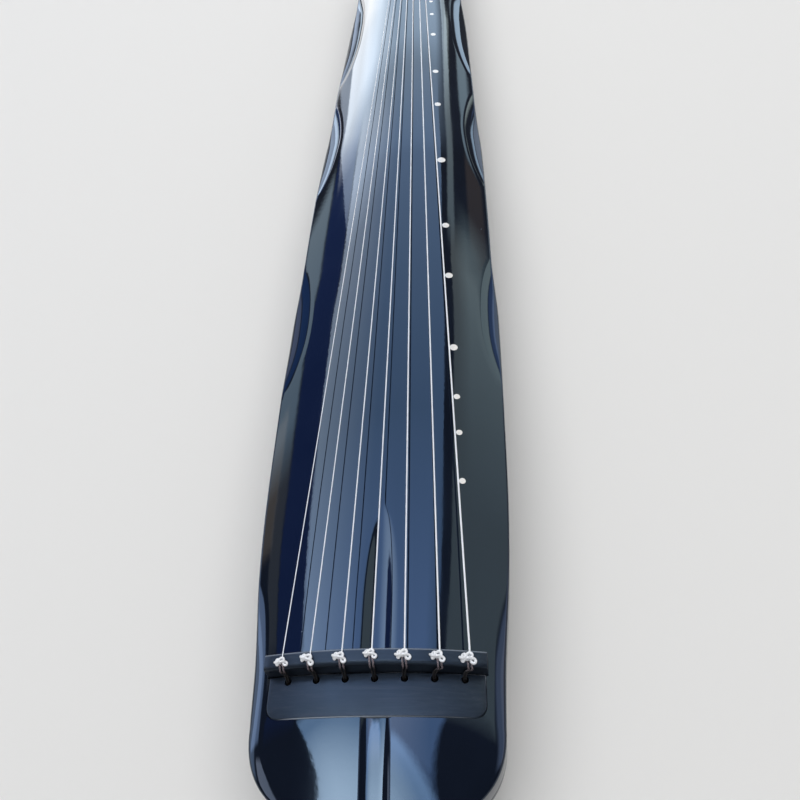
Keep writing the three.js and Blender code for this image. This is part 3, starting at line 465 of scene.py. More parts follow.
def copied(piece, name, move):
    """A copy of a piece with a mesh of its own, moved in millimetres by a matrix."""
    other = piece.copy()
    other.data = piece.data.copy()
    other.name = name
    other.data.transform(move)
    bpy.context.scene.collection.objects.link(other)
    return other


def one_per_peg(model, name, slot, node, smooth):
    """Puts a copy of a model on each peg's body, named by the peg, and clears the model away."""
    for n in STRINGS:
        piece = copied(model, name.format(n), Matrix.Translation((across(n, HOLE_PITCH), 0, 0)))
        finish_piece(piece, slot, [node.format(n)], smooth, f"tuning_peg_{n}")
    bpy.data.objects.remove(model)


def mark(piece, name, value):
    """Keeps a value at every point of a piece, which its finish reads."""
    kept = piece.data.attributes.new(name, "FLOAT", "POINT")
    kept.data.foreach_set("value", [value(vert.co) for vert in piece.data.vertices])


def rope(name, points, radius, sides):
    """A round strand along points, with its length and turn kept on the mesh for its finish."""
    count = len(points)
    tangents = []
    for i in range(count):
        step = points[min(i + 1, count - 1)] - points[max(i - 1, 0)]
        tangents.append(step.normalized())
    normal = Vector((0, 0, 1)) if abs(tangents[0].z) < 0.9 else Vector((1, 0, 0))
    verts, faces, along, length = [], [], [], 0.0
    radii = radius if isinstance(radius, list) else [radius] * count
    for i in range(count):
        tangent = tangents[i]
        normal = (normal - tangent * normal.dot(tangent)).normalized()
        side = tangent.cross(normal)
        if i:
            length += (points[i] - points[i - 1]).length
        for k in range(sides):
            angle = 2 * math.pi * k / sides
            offset = (normal * math.cos(angle) + side * math.sin(angle)) * radii[i]
            verts.append(points[i] + offset)
            along.append(length)
    for i in range(count - 1):
        for k in range(sides):
            a, b = i * sides + k, i * sides + (k + 1) % sides
            faces.append((a, b, b + sides, a + sides))
    faces.append(tuple(reversed(range(sides))))
    faces.append(tuple(range((count - 1) * sides, count * sides)))
    mesh = bpy.data.meshes.new(name)
    mesh.from_pydata([tuple(v) for v in verts], [], faces)
    piece = bpy.data.objects.new(name, mesh)
    bpy.context.scene.collection.objects.link(piece)
    uv = mesh.uv_layers.new(name="strand")
    for face in mesh.polygons:
        for corner in face.loop_indices:
            index = mesh.loops[corner].vertex_index
            turn = (index % sides) / sides
            if len(face.vertices) == 4 and turn == 0 and (face.index % sides) == sides - 1:
                turn = 1.0
            uv.data[corner].uv = (along[index] / 100, turn)
    return piece


def curve_through(points, steps):
    """A smooth line through points, with a few steps between each two."""
    line = []
    points = [Vector(point) for point in points]
    last = len(points) - 1
    for i in range(last):
        a, b = points[max(i - 1, 0)], points[i]
        c, d = points[i + 1], points[min(i + 2, last)]
        for k in range(steps):
            t = k / steps
            line.append(0.5 * ((2 * b) + (c - a) * t + (2 * a - 5 * b + 4 * c - d) * t * t
                               + (3 * b - a - 3 * c + d) * t ** 3))
    line.append(points[last].copy())
    return line


# Finishes
class Nodes:
    """Short names for adding nodes to a tree."""

    def __init__(self, tree):
        self.tree = tree

    def node(self, kind, values=None, **settings):
        made_node = self.tree.nodes.new(kind)
        for key, value in settings.items():
            setattr(made_node, key, value)
        for key, value in (values or {}).items():
            made_node.inputs[key].default_value = value
        return made_node

    def link(self, start, end):
        self.tree.links.new(start, end)

    def feed(self, socket, value):
        """Gives a socket a number, a colour or what another node puts out."""
        if isinstance(value, bpy.types.NodeSocket):
            self.link(value, socket)
        elif isinstance(value, tuple):
            socket.default_value = (*value, 1)
        else:
            socket.default_value = value

    def spread(self, value, low, high, start=0.0, end=1.0):
        """Turns the span from start to end into the span from low to high."""
        span = {"From Min": start, "From Max": end, "To Min": low, "To Max": high}
        made_node = self.node("ShaderNodeMapRange", span)
        self.link(value, made_node.inputs["Value"])
        return made_node.outputs["Result"]

    def sum(self, kind, first, second):
        made_node = self.node("ShaderNodeMath", operation=kind)
        self.feed(made_node.inputs[0], first)
        self.feed(made_node.inputs[1], second)
        return made_node.outputs["Value"]


class Finish(Nodes):
    """A material and short names for adding its nodes."""

    def __init__(self, name):
        self.material = bpy.data.materials.new(name)
        self.material.use_nodes = True
        super().__init__(self.material.node_tree)
        self.shader = self.tree.nodes["Principled BSDF"]

    def place(self, scale=(1, 1, 1), source="Object"):
        mapping = self.node("ShaderNodeMapping", {"Scale": scale})
        self.link(self.node("ShaderNodeTexCoord").outputs[source], mapping.inputs["Vector"])
        return mapping.outputs["Vector"]

    def noise(self, place, scale, detail=3.0, rough=0.5, distortion=0.0):
        """Noise at a place, which can also be given as the stretch of the piece's own space."""
        values = {"Scale": scale, "Detail": detail, "Roughness": rough, "Distortion": distortion}
        made_node = self.node("ShaderNodeTexNoise", values)
        self.link(self.place(place) if isinstance(place, tuple) else place, made_node.inputs["Vector"])
        return made_node.outputs["Fac"]

    def turns(self, scale, distortion):
        """Slanting bands round a strand, by the length and turn kept on its mesh."""
        values = {"Scale": scale, "Distortion": distortion}
        wave = self.node("ShaderNodeTexWave", values, wave_type="BANDS", bands_direction="DIAGONAL")
        self.link(self.place(source="UV"), wave.inputs["Vector"])
        return wave.outputs["Fac"]

    def marked(self, name):
        return self.node("ShaderNodeAttribute", attribute_name=name).outputs["Fac"]

    def ramp(self, value, *stops):
        made_node = self.node("ShaderNodeValToRGB")
        band = made_node.color_ramp
        while len(band.elements) < len(stops):
            band.elements.new(0.5)
        for element, (position, *colour) in zip(band.elements, stops):
            element.position = position
            element.color = (*colour, 1)
        self.link(value, made_node.inputs["Fac"])
        return made_node.outputs["Color"]

    def blend(self, share, first, second):
        made_node = self.node("ShaderNodeMix", data_type="RGBA")
        for socket, value in ((0, share), (6, first), (7, second)):
            self.feed(made_node.inputs[socket], value)
        return made_node.outputs[2]

    def bump(self, *layers):
        """Stacks bumps, each a height, a distance in metres and a strength."""
        normal = None
        for height, distance, strength in layers:
            made_node = self.node("ShaderNodeBump", {"Distance": distance, "Strength": strength})
            self.link(height, made_node.inputs["Height"])
            if normal:
                self.link(normal, made_node.inputs["Normal"])
            normal = made_node.outputs["Normal"]
        self.link(normal, self.shader.inputs["Normal"])

    def set(self, **values):
        for key, value in values.items():
            self.feed(self.shader.inputs[key.replace("_", " ")], value)


def black_lacquer():
    """Deep blue-black lacquer: polished, with faint rubbing marks, long waves and a few dust specks."""
    finish = Finish("black_lacquer")
    plain = finish.place()
    depth = finish.noise(plain, 7.0, 4.0, 0.6)
    colour = finish.ramp(depth, (0.3, 0.0022, 0.0035, 0.009), (0.7, 0.0045, 0.007, 0.016))
    specks = finish.node("ShaderNodeTexVoronoi", {"Scale": 115.0}, feature="F1")
    finish.link(plain, specks.inputs["Vector"])
    near = finish.spread(specks.outputs["Distance"], 1.0, 0.0, 0.03, 0.06)
    chosen = finish.spread(specks.outputs["Color"], 0.0, 1.0, 0.9, 0.93)
    speck = finish.sum("MULTIPLY", near, chosen)
    colour = finish.blend(speck, colour, (0.12, 0.14, 0.17))
    rubbed = finish.noise((1.0, 0.12, 1.0), 60.0, 5.0, 0.65)
    cloudy = finish.noise(plain, 14.0)
    rough = finish.sum(
        "ADD", finish.spread(rubbed, 0.015, 0.055, 0.35, 0.75), finish.spread(cloudy, 0.0, 0.03, 0.4, 0.8)
    )
    rough = finish.sum("ADD", rough, finish.sum("MULTIPLY", speck, 0.4))
    waves = finish.noise((1.0, 0.35, 1.0), 11.0, 2.0, 0.4)
    peel = finish.noise(plain, 260.0, 2.0)
    finish.bump((waves, 0.0007, 0.35), (peel, 0.00002, 0.5), (speck, 0.00015, 0.6))
    finish.set(IOR=1.5, Specular_Tint=(0.5, 0.72, 1.0), Base_Color=colour, Roughness=rough)
    return finish.material


def dark_hardwood():
    """Slate-black hardwood, rubbed to a soft sheen, with fine grain across the body."""
    finish = Finish("dark_hardwood")
    grain = finish.noise((4.0, 90.0, 90.0), 5.0, 6.0, 0.62, 0.6)
    pores = finish.noise((14.0, 420.0, 420.0), 5.0, 2.0)
    colour = finish.ramp(
        grain, (0.28, 0.004, 0.006, 0.010), (0.55, 0.010, 0.013, 0.019), (0.78, 0.022, 0.024, 0.030)
    )
    pore = finish.spread(pores, 0.0, 1.0, 0.6, 0.72)
    colour = finish.blend(finish.sum("MULTIPLY", pore, 0.6), colour, (0.004, 0.004, 0.006))
    # Wear and painted highlight: marked edges are blended towards a pale blue-grey, partly as rubbed wood
    # and partly as a painted glint of light along the rounded edges.
    colour = finish.blend(finish.sum("MULTIPLY", finish.marked("worn"), 0.75), colour, (0.55, 0.6, 0.68))
    rough = finish.spread(finish.noise(finish.place(), 30.0), 0.3, 0.46, 0.3, 0.7)
    finish.bump((grain, 0.00012, 0.35), (pore, 0.00005, 0.3))
    finish.set(IOR=1.42, Specular_Tint=(0.52, 0.72, 1.0), Base_Color=colour, Roughness=rough)
    return finish.material


def red_hardwood():
    """Red-brown hardwood of the turned and carved pieces, oiled."""
    finish = Finish("red_hardwood")
    grain = finish.noise((110.0, 110.0, 9.0), 5.0, 6.0, 0.6, 0.8)
    bands = finish.noise((26.0, 26.0, 3.0), 3.0, 3.0, 0.5, 1.2)
    colour = finish.ramp(
        grain, (0.3, 0.022, 0.008, 0.006), (0.52, 0.06, 0.02, 0.013), (0.75, 0.12, 0.045, 0.026)
    )
    colour = finish.blend(finish.spread(bands, 0.0, 0.5, 0.4, 0.7), colour, (0.018, 0.008, 0.007))
    finish.bump((grain, 0.00008, 0.4))
    finish.set(IOR=1.48, Base_Color=colour, Roughness=finish.spread(grain, 0.26, 0.4, 0.3, 0.7))
    return finish.material


def inner_wood():
    """Bare softwood of the sound chamber, with the grain along the body."""
    finish = Finish("inner_wood")
    rings = finish.noise((34.0, 0.9, 34.0), 4.0, 4.0, 0.55, 1.0)
    fibre = finish.noise((300.0, 8.0, 300.0), 4.0, 3.0, 0.6)
    colour = finish.ramp(rings, (0.3, 0.42, 0.27, 0.13), (0.6, 0.55, 0.38, 0.2), (0.72, 0.3, 0.17, 0.08))
    colour = finish.blend(finish.spread(fibre, 0.0, 0.35, 0.5, 0.75), colour, (0.3, 0.19, 0.1))
    finish.bump((fibre, 0.0001, 0.4))
    finish.set(Base_Color=colour, Roughness=finish.spread(fibre, 0.6, 0.8))
    return finish.material


def mother_of_pearl():
    """Pale shell with clouded layers that turn faintly pink and green."""
    finish = Finish("mother_of_pearl")
    layers = finish.noise((1.0, 0.6, 1.0), 330.0, 4.0, 0.6, 2.5)
    colour = finish.ramp(
        layers, (0.25, 0.62, 0.66, 0.66), (0.42, 0.8, 0.8, 0.77), (0.55, 0.86, 0.8, 0.79),
        (0.68, 0.78, 0.84, 0.8), (0.8, 0.66, 0.7, 0.74),
    )
    finish.bump((layers, 0.00003, 0.3))
    finish.set(IOR=1.53, Coat_Weight=0.6, Coat_Roughness=0.05)
    finish.set(Base_Color=colour, Roughness=finish.spread(layers, 0.18, 0.34))
    return finish.material


def white_string():
    """Silver-white wound string: fine turns of floss round the core, under a clear skin."""
    finish = Finish("white_string")
    turns = finish.turns(60.0, 0.6)
    patches = finish.noise(finish.place(), 40.0)
    colour = finish.ramp(patches, (0.3, 0.84, 0.86, 0.9), (0.7, 0.93, 0.94, 0.96))
    # Painted shade: where the turns dip between one another, the colour is mixed towards a darker grey.
    colour = finish.blend(finish.spread(turns, 0.16, 0.0), colour, (0.5, 0.52, 0.57))
    finish.bump((turns, 0.00004, 0.4))
    finish.set(IOR=1.52, Coat_Weight=0.35, Coat_Roughness=0.2)
    finish.set(Base_Color=colour, Roughness=finish.spread(turns, 0.42, 0.3))
    return finish.material


def silk_cord():
    """Near-black twisted silk, its colour following the twist with painted highlight on the crests and
    painted shade in the grooves, and with threads painted pinkish grey as a painted highlight where a cord
    lies over the bridge.
    """
    finish = Finish("silk_cord")
    turns = finish.turns(26.0, 1.0)
    threads = finish.noise(finish.place(), 900.0, 3.0, 0.6)
    # Painted highlight and shade: both colours follow the twist's bands, paler on the strands' crests and
    # darker in the grooves between them.
    dark = finish.ramp(
        turns, (0.2, 0.001, 0.001, 0.001), (0.6, 0.004, 0.003, 0.003), (0.95, 0.014, 0.009, 0.01)
    )
    # Painted highlight: a pinkish grey for the top of a loop cord, where it lies over the bridge, in place
    # of the light that falls on it there.
    pale = finish.ramp(
        turns, (0.2, 0.012, 0.009, 0.011), (0.55, 0.14, 0.11, 0.125), (0.9, 0.48, 0.39, 0.43)
    )
    colour = finish.blend(finish.marked("rubbed"), dark, pale)
    colour = finish.blend(finish.spread(threads, 0.0, 0.6, 0.5, 0.8), colour, (0.003, 0.002, 0.003))
    finish.bump((turns, 0.0002, 0.5), (threads, 0.00004, 0.4))
    finish.set(IOR=1.5, Base_Color=colour, Roughness=finish.spread(turns, 0.6, 0.38))
    return finish.material


# The finish of each slot, and those that are also put on faces of cuts and on plain nodes
FINISHES = {
    "black_lacquer": black_lacquer(), "dark_hardwood": dark_hardwood(), "red_hardwood": red_hardwood(),
    "mother_of_pearl": mother_of_pearl(), "white_string": white_string(), "silk_cord": silk_cord(),
}
LACQUER, HARDWOOD, BARE_WOOD = FINISHES["black_lacquer"], FINISHES["dark_hardwood"], inner_wood()


# Top board
def body_rows():
    """Places of the cross-sections: close round the head, even along the body, close at the tail."""
    ahead = [
        0.21, 0.5, 0.9, 1.4, 2.0, 2.7, 3.5, 4.3, 5.1, 5.9, 6.7, 7.4, 8.0, 8.7, 9.5, 10.5, 11.7, 13.0,
        14.5, 16.2, 18.0, 20.0, 22.2, 24.6, 27.2, 30.0, 33.2, 36.6, 40.4, 44.6, 49.2, 53.6, 57.8,
    ]
    rows = [NOSE + step for step in ahead]
    start, end, count = ARC_START, TAIL_END - TAIL_CORNER, 216
    rows += [start + (end - start) * i / count for i in range(count + 1)]
    for angle in (15, 30, 44, 56, 66, 74, 81, 86, 90):
        rows.append(end + TAIL_CORNER * math.sin(math.radians(angle)))
    return rows


ROWS = body_rows()
GROOVE_STEPS = 13
FIELD_STEPS, FACET_STEPS, ROUND_STEPS = 20, 9, 5


def column_places(y):
    """Places across half the face: the groove, the field, the facet and the round of the edge."""
    half = half_width(y)
    crease = max(inset_at(y, max(facet_at(y)[0], 2 * EDGE_ROUND)), half * 0.55)
    rounded = max(inset_at(y, EDGE_ROUND), (crease + half) / 2)
    soft, _, head = groove_at(y)
    groove = min(max(HEAD_GROOVE_HALF * head + soft * (1 - head), half / 60), half * 0.45)
    places = [groove * i / GROOVE_STEPS for i in range(GROOVE_STEPS)]
    places += [groove + (crease - groove) * i / FIELD_STEPS for i in range(FIELD_STEPS)]
    places += [crease + (rounded - crease) * i / FACET_STEPS for i in range(FACET_STEPS)]
    for i in range(ROUND_STEPS + 1):
        places.append(rounded + (half - rounded) * math.sin(i / ROUND_STEPS * math.pi / 2))
    return places


def top_face():
    """The lacquered face, closed down to the seam between the boards."""
    columns = {y: column_places(y) for y in ROWS}
    half_columns = len(columns[ROWS[0]]) - 1

    def place(column, row):
        y = ROWS[row]
        k = column - half_columns
        x = math.copysign(columns[y][abs(k)], k) if k else 0.0
        x += HEAD_GROOVE_SIDE * groove_at(y)[2] * clamp(1.8 - 2 * abs(x) / half_width(y))
        return Vector((x, y, face_height(x, y)))

    piece = sheet("top_board_face", 2 * half_columns, len(ROWS) - 1, place)
    close_down(piece, lambda x, y: SEAM)
    piece.data.materials.append(LACQUER)
    return piece


def cavity():
    """The hollow of the sound chamber."""
    rows, columns = 48, 16
    start, end = CAVITY_START, TAIL_END - CAVITY_END_MARGIN

    def ceiling(column, row):
        y = start + (end - start) * row / rows
        x = (half_width(y) - WALL) * (2 * column / columns - 1)
        return Vector((x, y, surface_at(x, y) - BOARD))

    piece = sheet("cavity", columns, rows, ceiling)
    close_down(piece, lambda x, y: SEAM - OVERRUN)
    return piece


def stud_pockets():
    """The seats of the studs, as one cutter."""
    seats = []
    for i, width in enumerate(STUD_WIDTHS):
        put_down()
        depth = STUD_THICK - STUD_PROUD + STUD_FLOOR_GAP
        bpy.ops.mesh.primitive_cylinder_add(
            vertices=48, radius=width / 2 + STUD_SIDE_GAP, depth=OVERRUN + depth
        )
        seat = bpy.context.object
        seat.data.transform(stud_seat(i) @ Matrix.Translation((0, 0, OVERRUN / 2 - depth / 2)))
        seats.append(seat)
    return joined(seats, "stud_pockets")


def top_board():
    piece = top_face()
    cut(piece, cavity(), BARE_WOOD)
    gap, top = POCKET_GAP, STAND + THICKNESS + OVERRUN
    low = INLAY_FLOOR - SEAT_GAP
    cut(piece, strip_block("strip_pocket", gap, low, top), HARDWOOD)
    side, back = BRIDGE_HALF + gap, -BRIDGE_DEPTH - BRIDGE_BACK_GAP
    cut(piece, block("bridge_pocket", (-side, back, low), (side, gap, top)), HARDWOOD)
    side, low = NUT_HALF + gap, crown_at(STRING_LENGTH) - NUT_DEPTH - SEAT_GAP
    nut = block("nut_pocket", (-side, STRING_LENGTH - gap, low), (side, TAIL_END + OVERRUN, top))
    cut(piece, nut, HARDWOOD)
    pool = slot_block("pool", POOL_HALF, POOL_HALF_DEPTH, POOL_END, -HOLE_PLACE, SEAM - OVERRUN, PLATE_TOP)
    cut(piece, pool, LACQUER)
    rim = LEDGE + SEAT_GAP
    half_x, half_y = POOL_HALF + rim, POOL_HALF_DEPTH + rim
    ledge = slot_block("ledge", half_x, half_y, POOL_END, -HOLE_PLACE, POOL_ROOF, PLATE_TOP + SEAT_GAP)
    cut(piece, ledge, LACQUER)
    cut(piece, round_bars("cord_holes", HOLE_RADIUS, HOLES, POOL_ROOF, INLAY_FLOOR + OVERRUN), HARDWOOD)
    cut(piece, stud_pockets(), HARDWOOD)
    finish_piece(piece, "black_lacquer", ["top_board"], 22)


def stud_seat(index):
    """The place of a stud on the face and the turn that lays it there."""
    share = STUDS[index]
    x = STUD_HEAD + (STUD_TAIL - STUD_HEAD) * share
    y = share * STRING_LENGTH
    step = STUD_WIDTHS[index] / 4
    slope = (surface_at(x + step, y) - surface_at(x - step, y)) / (2 * step)
    turn = Vector((0, 0, 1)).rotation_difference(Vector((-slope, 0, 1)).normalized())
    return Matrix.Translation((x, y, surface_at(x, y))) @ turn.to_matrix().to_4x4()


def strip_block(name, grow, low, high):
    """The strip's plan as a block: square against the bridge, round at its front corners."""
    front, half = -STRIP_FRONT - grow, STRIP_HALF + grow
    piece = block(name, (-half, front, low), (half, -BRIDGE_DEPTH - SEAT_GAP + grow, high))
    round_edges(piece, STRIP_CORNER, 10, lambda middle, run: abs(run.z) > 1 and middle.y < front + 1)
    return piece


# Bottom board
def bottom_board():
    right = [(half_width(y), y) for y in ROWS]
    loop = right + [(-x, y) for x, y in reversed(right)]
    put_down()
    bpy.ops.mesh.primitive_circle_add(
        vertices=len(loop), radius=1, fill_type="NGON", location=(0, 0, STAND)
    )
    piece = made("bottom_board_face")
    for index, (x, y) in zip(list(piece.data.polygons[0].vertices), loop):
        piece.data.vertices[index].co = (x, y, STAND)
    rise = BOTTOM - GLUE_GAP
    edit_all()
    bpy.ops.mesh.extrude_region_move(TRANSFORM_OT_translate={"value": (0, 0, rise)})
    face_out()
    round_edges(
        piece, BOTTOM_ROUND, 5, lambda middle, run: abs(run.z) < 0.1 and middle.z < STAND + 0.1
    )
    round_edges(
        piece, SEAM_ROUND, 2, lambda middle, run: abs(run.z) < 0.01 and middle.z > STAND + rise - 0.01
    )
    low, high = STAND - OVERRUN, SEAM + OVERRUN
    for name, half_x, half_y, corner, y in (
        ("pool", POOL_HALF, POOL_HALF_DEPTH, POOL_END, -HOLE_PLACE),
        ("dragon_pool", SOUND_HALF, DRAGON_LENGTH / 2, SOUND_HALF, DRAGON * STRING_LENGTH),
        ("phoenix_pool", SOUND_HALF, PHOENIX_LENGTH / 2, SOUND_HALF, PHOENIX * STRING_LENGTH),
    ):
        cut(piece, slot_block(name, half_x, half_y, corner, y, low, high, 14))
    half_x, half_y = GUARD_THICK / 4 + SEAT_GAP, GUARD_FOOT / 4 + SEAT_GAP
    y, roof = -HOLE_PLACE, STAND + GUARD_TENON + SEAT_GAP
    for side in (-1, 1):
        foot = (side * FOOT_SPACING, FOOT_PLACE)
        cut(piece, round_bars("foot_socket", TENON_R + SEAT_GAP, [foot], low, high, 48))
        x = side * GUARD_MIDDLE
        cut(piece, block("mortise", (x - half_x, y - half_y, low), (x + half_x, y + half_y, roof)))
    reach, start = NUT_HALF + SEAT_GAP, TAIL_END - LOWER_NUT_DEPTH - SEAT_GAP
    roof = STAND + LOWER_NUT_THICK + SEAT_GAP
    cut(piece, block("lower_nut_seat", (-reach, start, low), (reach, TAIL_END + OVERRUN, roof)))
    finish_piece(piece, "black_lacquer", ["bottom_board"], 30)


# Hardwood fittings
def bridge():
    low, high = INLAY_FLOOR, crown_at(0) + BRIDGE_HEIGHT
    piece = block("bridge_bar", (-BRIDGE_HALF, -BRIDGE_DEPTH, low), (BRIDGE_HALF, 0, high))
    slices(piece, [BRIDGE_HALF * (i / 14 - 1) for i in range(1, 28)])
    slices(piece, [-1.3], (0, 1, 0))
    shape_top(piece, high, lambda x, y: bridge_top(x))

    def along_top(middle, run):
        return abs(middle.z - bridge_top(middle.x)) < 0.3 and abs(run.x) > 1

    def front(middle, run):
        return along_top(middle, run) and middle.y < -BRIDGE_DEPTH + 0.1

    round_edges(piece, BRIDGE_FRONT_ROUND, 6, front)
    round_edges(piece, BRIDGE_BACK_ROUND, 3, lambda middle, run: along_top(middle, run) and middle.y > -0.1)
    round_edges(
        piece, END_ROUND, 2, lambda middle, run: abs(middle.x) > BRIDGE_HALF - 0.01 and middle.z > low + 1
    )
    # Wear and painted highlight along the bridge's top back edge.
    mark(piece, "worn", lambda co: 0.35 if co.y > -0.75 and co.z > bridge_top(co.x) - 0.8 else 0.0)
    finish_piece(piece, "dark_hardwood", ["bridge"], 35)


def strip_wear_and_highlight(co):
    """How pale the strip's rim is painted at a point, as wear and as a painted edge highlight: along its
    rim, less at the ends and the bridge.
    """
    if not 0.1 < strip_top(co.x, co.y) - co.z < 1.0:
        return 0.0
    if co.y > -BRIDGE_DEPTH - 1.5:
        return 0.3 + 0.3 * math.sin(co.x / 9)
    if co.y > -STRIP_FRONT + 1.5:
        return 0.0
    bright = min(max(0.7 - co.x / 90, 0.25), 1.0)
    return bright * clamp((STRIP_HALF - 8 - abs(co.x)) / 10)


def string_hole_strip():
    low, high = INLAY_FLOOR, crown_at(0) + OVERRUN
    piece = strip_block("hole_strip", 0, low, high)
    slices(piece, [STRIP_HALF * (i / 16 - 1) for i in range(1, 32)])
    slices(piece, [-20.0, -29.0], (0, 1, 0))
    shape_top(piece, high, strip_top)
    uses = {}
    for face in piece.data.polygons:
        for key in face.edge_keys:
            uses.setdefault(key, []).append(face.normal.z)
    verts = piece.data.vertices
    rims = set()
    for (a, b), ups in uses.items():
        middle = (verts[a].co + verts[b].co) / 2
        at_top = abs(middle.z - strip_top(middle.x, middle.y)) < 0.35
        if at_top and len(ups) == 2 and max(ups) > 0.8 and min(ups) < 0.3:
            rims.add(tuple(round(c, 3) for c in middle))
    round_edges(piece, STRIP_ROUND, 4, lambda middle, run: tuple(round(c, 3) for c in middle) in rims)
    cut(piece, round_bars("holes", HOLE_RADIUS, HOLES, low - OVERRUN, high + OVERRUN))
    # Wear and painted highlight along the strip's rim.
    mark(piece, "worn", strip_wear_and_highlight)
    finish_piece(piece, "dark_hardwood", ["string_hole_strip"], 35)


def tail_nut():
    top = crown_at(STRING_LENGTH) + NUT_HEIGHT
    low = crown_at(STRING_LENGTH) - NUT_DEPTH
    piece = block("nut_bar", (-NUT_HALF, STRING_LENGTH, low), (NUT_HALF, TAIL_END, top))
    round_crosswise(piece, NUT_ROUND - 0.05, 12, TAIL_END, top)
    round_crosswise(piece, BRIDGE_ROUND, 4, STRING_LENGTH, top)

    def end(middle, run):
        return abs(run.x) < 0.01 and abs(middle.x) > NUT_HALF - 0.01 and middle.z > low + 1

    round_edges(piece, END_ROUND, 2, end)
    finish_piece(piece, "dark_hardwood", ["tail_nut"], 35)


def lower_nut():
    low, start = STAND - LOWER_NUT_DROP, TAIL_END - LOWER_NUT_DEPTH
    high = STAND + LOWER_NUT_THICK
    piece = block("lower_nut_bar", (-NUT_HALF, start, low), (NUT_HALF, TAIL_END, high))
    round_crosswise(piece, LOWER_NUT_ROUND, 10, TAIL_END, low)
    round_crosswise(piece, LOWER_NUT_DROP, 3, start, low)
    finish_piece(piece, "dark_hardwood", ["lower_nut"], 35)


def crown_plate(side, place):
    rows, columns = 40, 14
    inner = NUT_HALF + 2 * SEAT_GAP

    def spot(column, row):
        share = row / rows
        y = TAIL_END - CROWN_LENGTH + (CROWN_LENGTH - TAIL_CORNER / 3) * share
        outer = half_width(y) - CROWN_MARGIN
        sweep = CROWN_SWEEP * max(1 - 2.5 * share, 0) ** 2
        start = inner + min(sweep, (outer - inner) * 0.8)
        x = side * (start + (outer - start) * column / columns)
        rim = min(column, columns - column) / 2
        rounding = 0.5 * max(1 - rim, 0) + 0.3 * max(1 - min(row, rows - row) / 2, 0)
        return Vector((x, y, surface_at(x, y) + CROWN_HEIGHT - rounding))

    piece = sheet(f"crown_wing_{place}", columns, rows, spot)
    close_down(piece, lambda x, y: surface_at(x, y) + SEAT_GAP)
    finish_piece(piece, "dark_hardwood", [f"crown_plate_{place}"], 35)


# Studs
def studs():
    """One stud is turned and copied to each place, thinned and widened as that place needs."""
    model = turned("stud_model", [
        (0.97, -0.5), (1.0, -0.44), (1.0, 0.44), (0.985, 0.475), (0.95, 0.49), (0.6, 0.5), (0.001, 0.503),
    ], 48)
    lift = Matrix.Translation((0, 0, STUD_PROUD - STUD_THICK / 2 - 0.003))
    for i, width in enumerate(STUD_WIDTHS):
        size = Matrix.Diagonal((width / 2, width / 2, STUD_THICK, 1))
        piece = copied(model, f"stud_{i + 1}_shell", stud_seat(i) @ lift @ size)
        finish_piece(piece, "mother_of_pearl", [f"stud_{i + 1}"], 40)
    bpy.data.objects.remove(model)


# Pegs, guards and feet
NECK_TOP = POOL_ROOF - PEG_COLLAR
NECK_LOW = NECK_TOP - PEG_NECK


def pegs():
    def at(share):
        return NECK_LOW - share * (NECK_LOW - PEG_FLOOR)

    profile = [
        (1.2, PEG_FLOOR + 0.3), (2.6, PEG_FLOOR), (PEG_WAIST_R - PEG_COLLAR / 2, PEG_FLOOR),
        (PEG_FOOT_R - 0.7, at(0.96)), (PEG_FOOT_R - 0.15, at(0.93)), (PEG_FOOT_R, at(0.9)),
        (PEG_FOOT_R - 0.2, at(0.86)), (PEG_FOOT_R - 0.75, at(0.845)), (PEG_FOOT_R - 0.75, at(0.83)),
        (PEG_FOOT_R - 0.35, at(0.815)), (PEG_WAIST_R + 0.1, at(0.76)), (PEG_WAIST_R, at(0.7)),
        (PEG_WAIST_R + 0.12, at(0.6)), (PEG_WAIST_R + 0.4, at(0.5)), (PEG_WAIST_R + 0.78, at(0.4)),
        (PEG_BODY_R - 0.12, at(0.31)), (PEG_BODY_R, at(0.24)), (PEG_BODY_R - 0.5, at(0.225)),
        (PEG_BODY_R - 0.5, at(0.205)), (PEG_BODY_R, at(0.19)), (PEG_BODY_R, at(0.09)),
        (PEG_BODY_R - 0.4, at(0.05)), (PEG_NECK_R + 0.9, at(0.008)), (PEG_NECK_R, NECK_LOW + 0.05),
        (PEG_NECK_R, NECK_TOP), (PEG_TOP_R - 0.35, NECK_TOP + 0.02), (PEG_TOP_R, NECK_TOP + 0.4),
        (PEG_TOP_R, POOL_ROOF - 0.4), (PEG_TOP_R - 0.4, POOL_ROOF - 0.02),
        (PEG_BORE_R + 0.3, POOL_ROOF - 0.02), (PEG_BORE_R, POOL_ROOF - 0.3),
        (PEG_BORE_R, POOL_ROOF - PEG_BORE_DEPTH),
    ]
    model = turned("peg_model", profile, 40, -HOLE_PLACE)
    one_per_peg(model, "peg_{}_turned", "red_hardwood", "peg_{}", 40)


def peg_cords():
    """Two twisted strands wound on the neck, in the path of the plain winding."""
    pitch = WRAP_WIDTH + WRAP_GAP
    top = (NECK_TOP + NECK_LOW) / 2 + pitch * WRAP_TURNS / 2
    radius = PEG_NECK_R + SEAT_GAP + WRAP_WIDTH / 2
    parts = []
    for half in (0, 1):
        line = []
        for i in range(WRAP_TURNS * WRAP_STEPS + 1):
            turn = 2 * math.pi * i / WRAP_STEPS
            twist = turn * WRAP_TWISTS + math.pi * half
            reach = radius + WRAP_TWIST * WRAP_WIDTH * math.cos(twist)
            height = top - pitch * i / WRAP_STEPS + WRAP_TWIST * WRAP_WIDTH * math.sin(twist)
            line.append(Vector((reach * math.cos(turn), reach * math.sin(turn) - HOLE_PLACE, height)))
        parts.append(rope(f"wrap_{half}", line, WRAP_WIDTH * WRAP_STRAND, 8))
    one_per_peg(joined(parts, "wrap_model"), "peg_cord_{}_wound", "silk_cord", "peg_cord_{}", 60)


